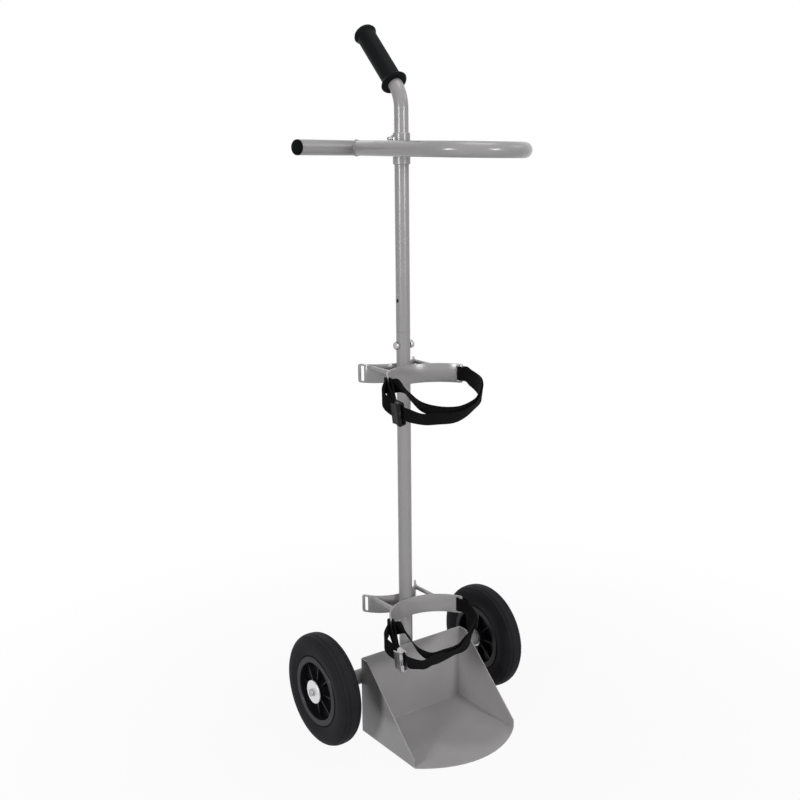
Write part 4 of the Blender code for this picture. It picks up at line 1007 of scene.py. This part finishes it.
# thread ridges where the column's bolt and the clamp screw stand proud of their nuts
threadLook = {"ridge": 0.00036, "steps": 20, "endGap": 0.0006}
threads = {             # bolt, nut, side that stands proud, shank radius, pitch
    "column_bolt_thread": ("column_bolt", "column_nut", 1, 0.0039, 0.00105),
    "clamp_screw_thread": ("hoop_clamp_screw", "hoop_clamp_nut", -1, 0.0029, 0.001),
}


def cutThread(name, bolt, nut, side, radius, pitch):
    boltBox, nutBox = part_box(bolt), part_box(nut)
    middle = (nutBox[0] + nutBox[1]) / 2
    end = 1 if side > 0 else 0
    start = nutBox[end].x
    length = abs(boltBox[end].x - start) - threadLook["endGap"]
    count = round(length / pitch * threadLook["steps"])
    route = []
    for i in range(count + 1):
        turn = 2 * math.pi * i / threadLook["steps"]
        x = start + side * length * i / count
        route.append(Vector((x, middle.y + radius * math.cos(turn), middle.z + radius * math.sin(turn))))
    thread = layBead(name, route, threadLook["ridge"], 0.0, across=(1, 0, 0))
    smoothEdges(thread, softAngle)
    giveFinish(thread, "zincPlate")
    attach(thread, frame["nodes"][bolt]["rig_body"])


for name, row in threads.items():
    cutThread(name, *row)
print("threads cut")


# floor, soft lamps and a pale room
studio = {
    "floorColour": (0.45, 0.45, 0.45), "floorSize": 40, "floorDrop": 0.0004,
    "whiteShare": 0.93, "plainFrom": 0.35, "plainTo": 1.1,      # from the shadow out to pure white
    "white": (1, 1, 1, 1), "world": 0.23,
    "lamps": (          # name, place, aim, size, watts
        ("frontLamp", (0.45, -3.2, 1.15), (0, 0, 0.6), 0.80, 42),
        ("leftLamp", (-2.55, -0.70, 1.06), (0, -0.05, 0.6), 0.62, 33),
        ("rightLamp", (2.3, -1.2, 2.3), (0, 0, 0.4), 1.3, 7),
        ("topLamp", (0.2, -0.5, 3.3), (0, 0, 0.3), 1.8, 27),
        ("backLamp", (0.4, 3.0, 1.9), (0, 0, 0.5), 1.8, 16),
    ),
}


def addFloor():
    clearPick()
    low = cadLow.z - studio["floorDrop"]
    bpy.ops.mesh.primitive_plane_add(size=studio["floorSize"], location=(0, 0, low))
    floor = nameIt("floor")
    material = bpy.data.materials.new("paleFloor")
    material.use_nodes = True
    tree = material.node_tree
    tree.nodes.remove(tree.nodes["Principled BSDF"])
    plain = tree.nodes.new("ShaderNodeBsdfDiffuse")
    plain.inputs["Color"].default_value = (*studio["floorColour"], 1)
    white = tree.nodes.new("ShaderNodeEmission")
    white.inputs["Color"].default_value = studio["white"]
    white.inputs["Strength"].default_value = 1
    place = tree.nodes.new("ShaderNodeTexCoord")
    away = tree.nodes.new("ShaderNodeVectorMath")
    away.operation = "LENGTH"
    tree.links.new(place.outputs["Object"], away.inputs[0])
    share = rangeNode(tree, away.outputs["Value"], studio["plainFrom"], studio["plainTo"],
                      studio["whiteShare"], 1.0)
    mix = tree.nodes.new("ShaderNodeMixShader")
    tree.links.new(mathNode(tree, "MULTIPLY", directRays(tree), share), mix.inputs[0])
    tree.links.new(plain.outputs[0], mix.inputs[1])
    tree.links.new(white.outputs[0], mix.inputs[2])
    tree.links.new(mix.outputs[0], tree.nodes["Material Output"].inputs["Surface"])
    floor.data.materials.append(material)


def addRoom():
    world = bpy.data.worlds.new("paleRoom")
    bpy.context.scene.world = world
    world.use_nodes = True
    tree = world.node_tree
    glow = tree.nodes["Background"]
    glow.inputs["Color"].default_value = studio["white"]
    strength = rangeNode(tree, directRays(tree), 0.0, 1.0, studio["world"], 1.0)
    tree.links.new(strength, glow.inputs["Strength"])


def addLamps():
    for name, place, aim, size, watts in studio["lamps"]:
        turn = (Vector(aim) - Vector(place)).to_track_quat("-Z", "Y").to_euler()
        bpy.ops.object.light_add(type="AREA", location=place, rotation=turn)
        lamp = bpy.context.object
        lamp.name = name
        lamp.data.shape = "DISK"
        lamp.data.size = size
        lamp.data.energy = watts
        lamp.visible_camera = False


addFloor()
addRoom()
addLamps()
print("stage lit")
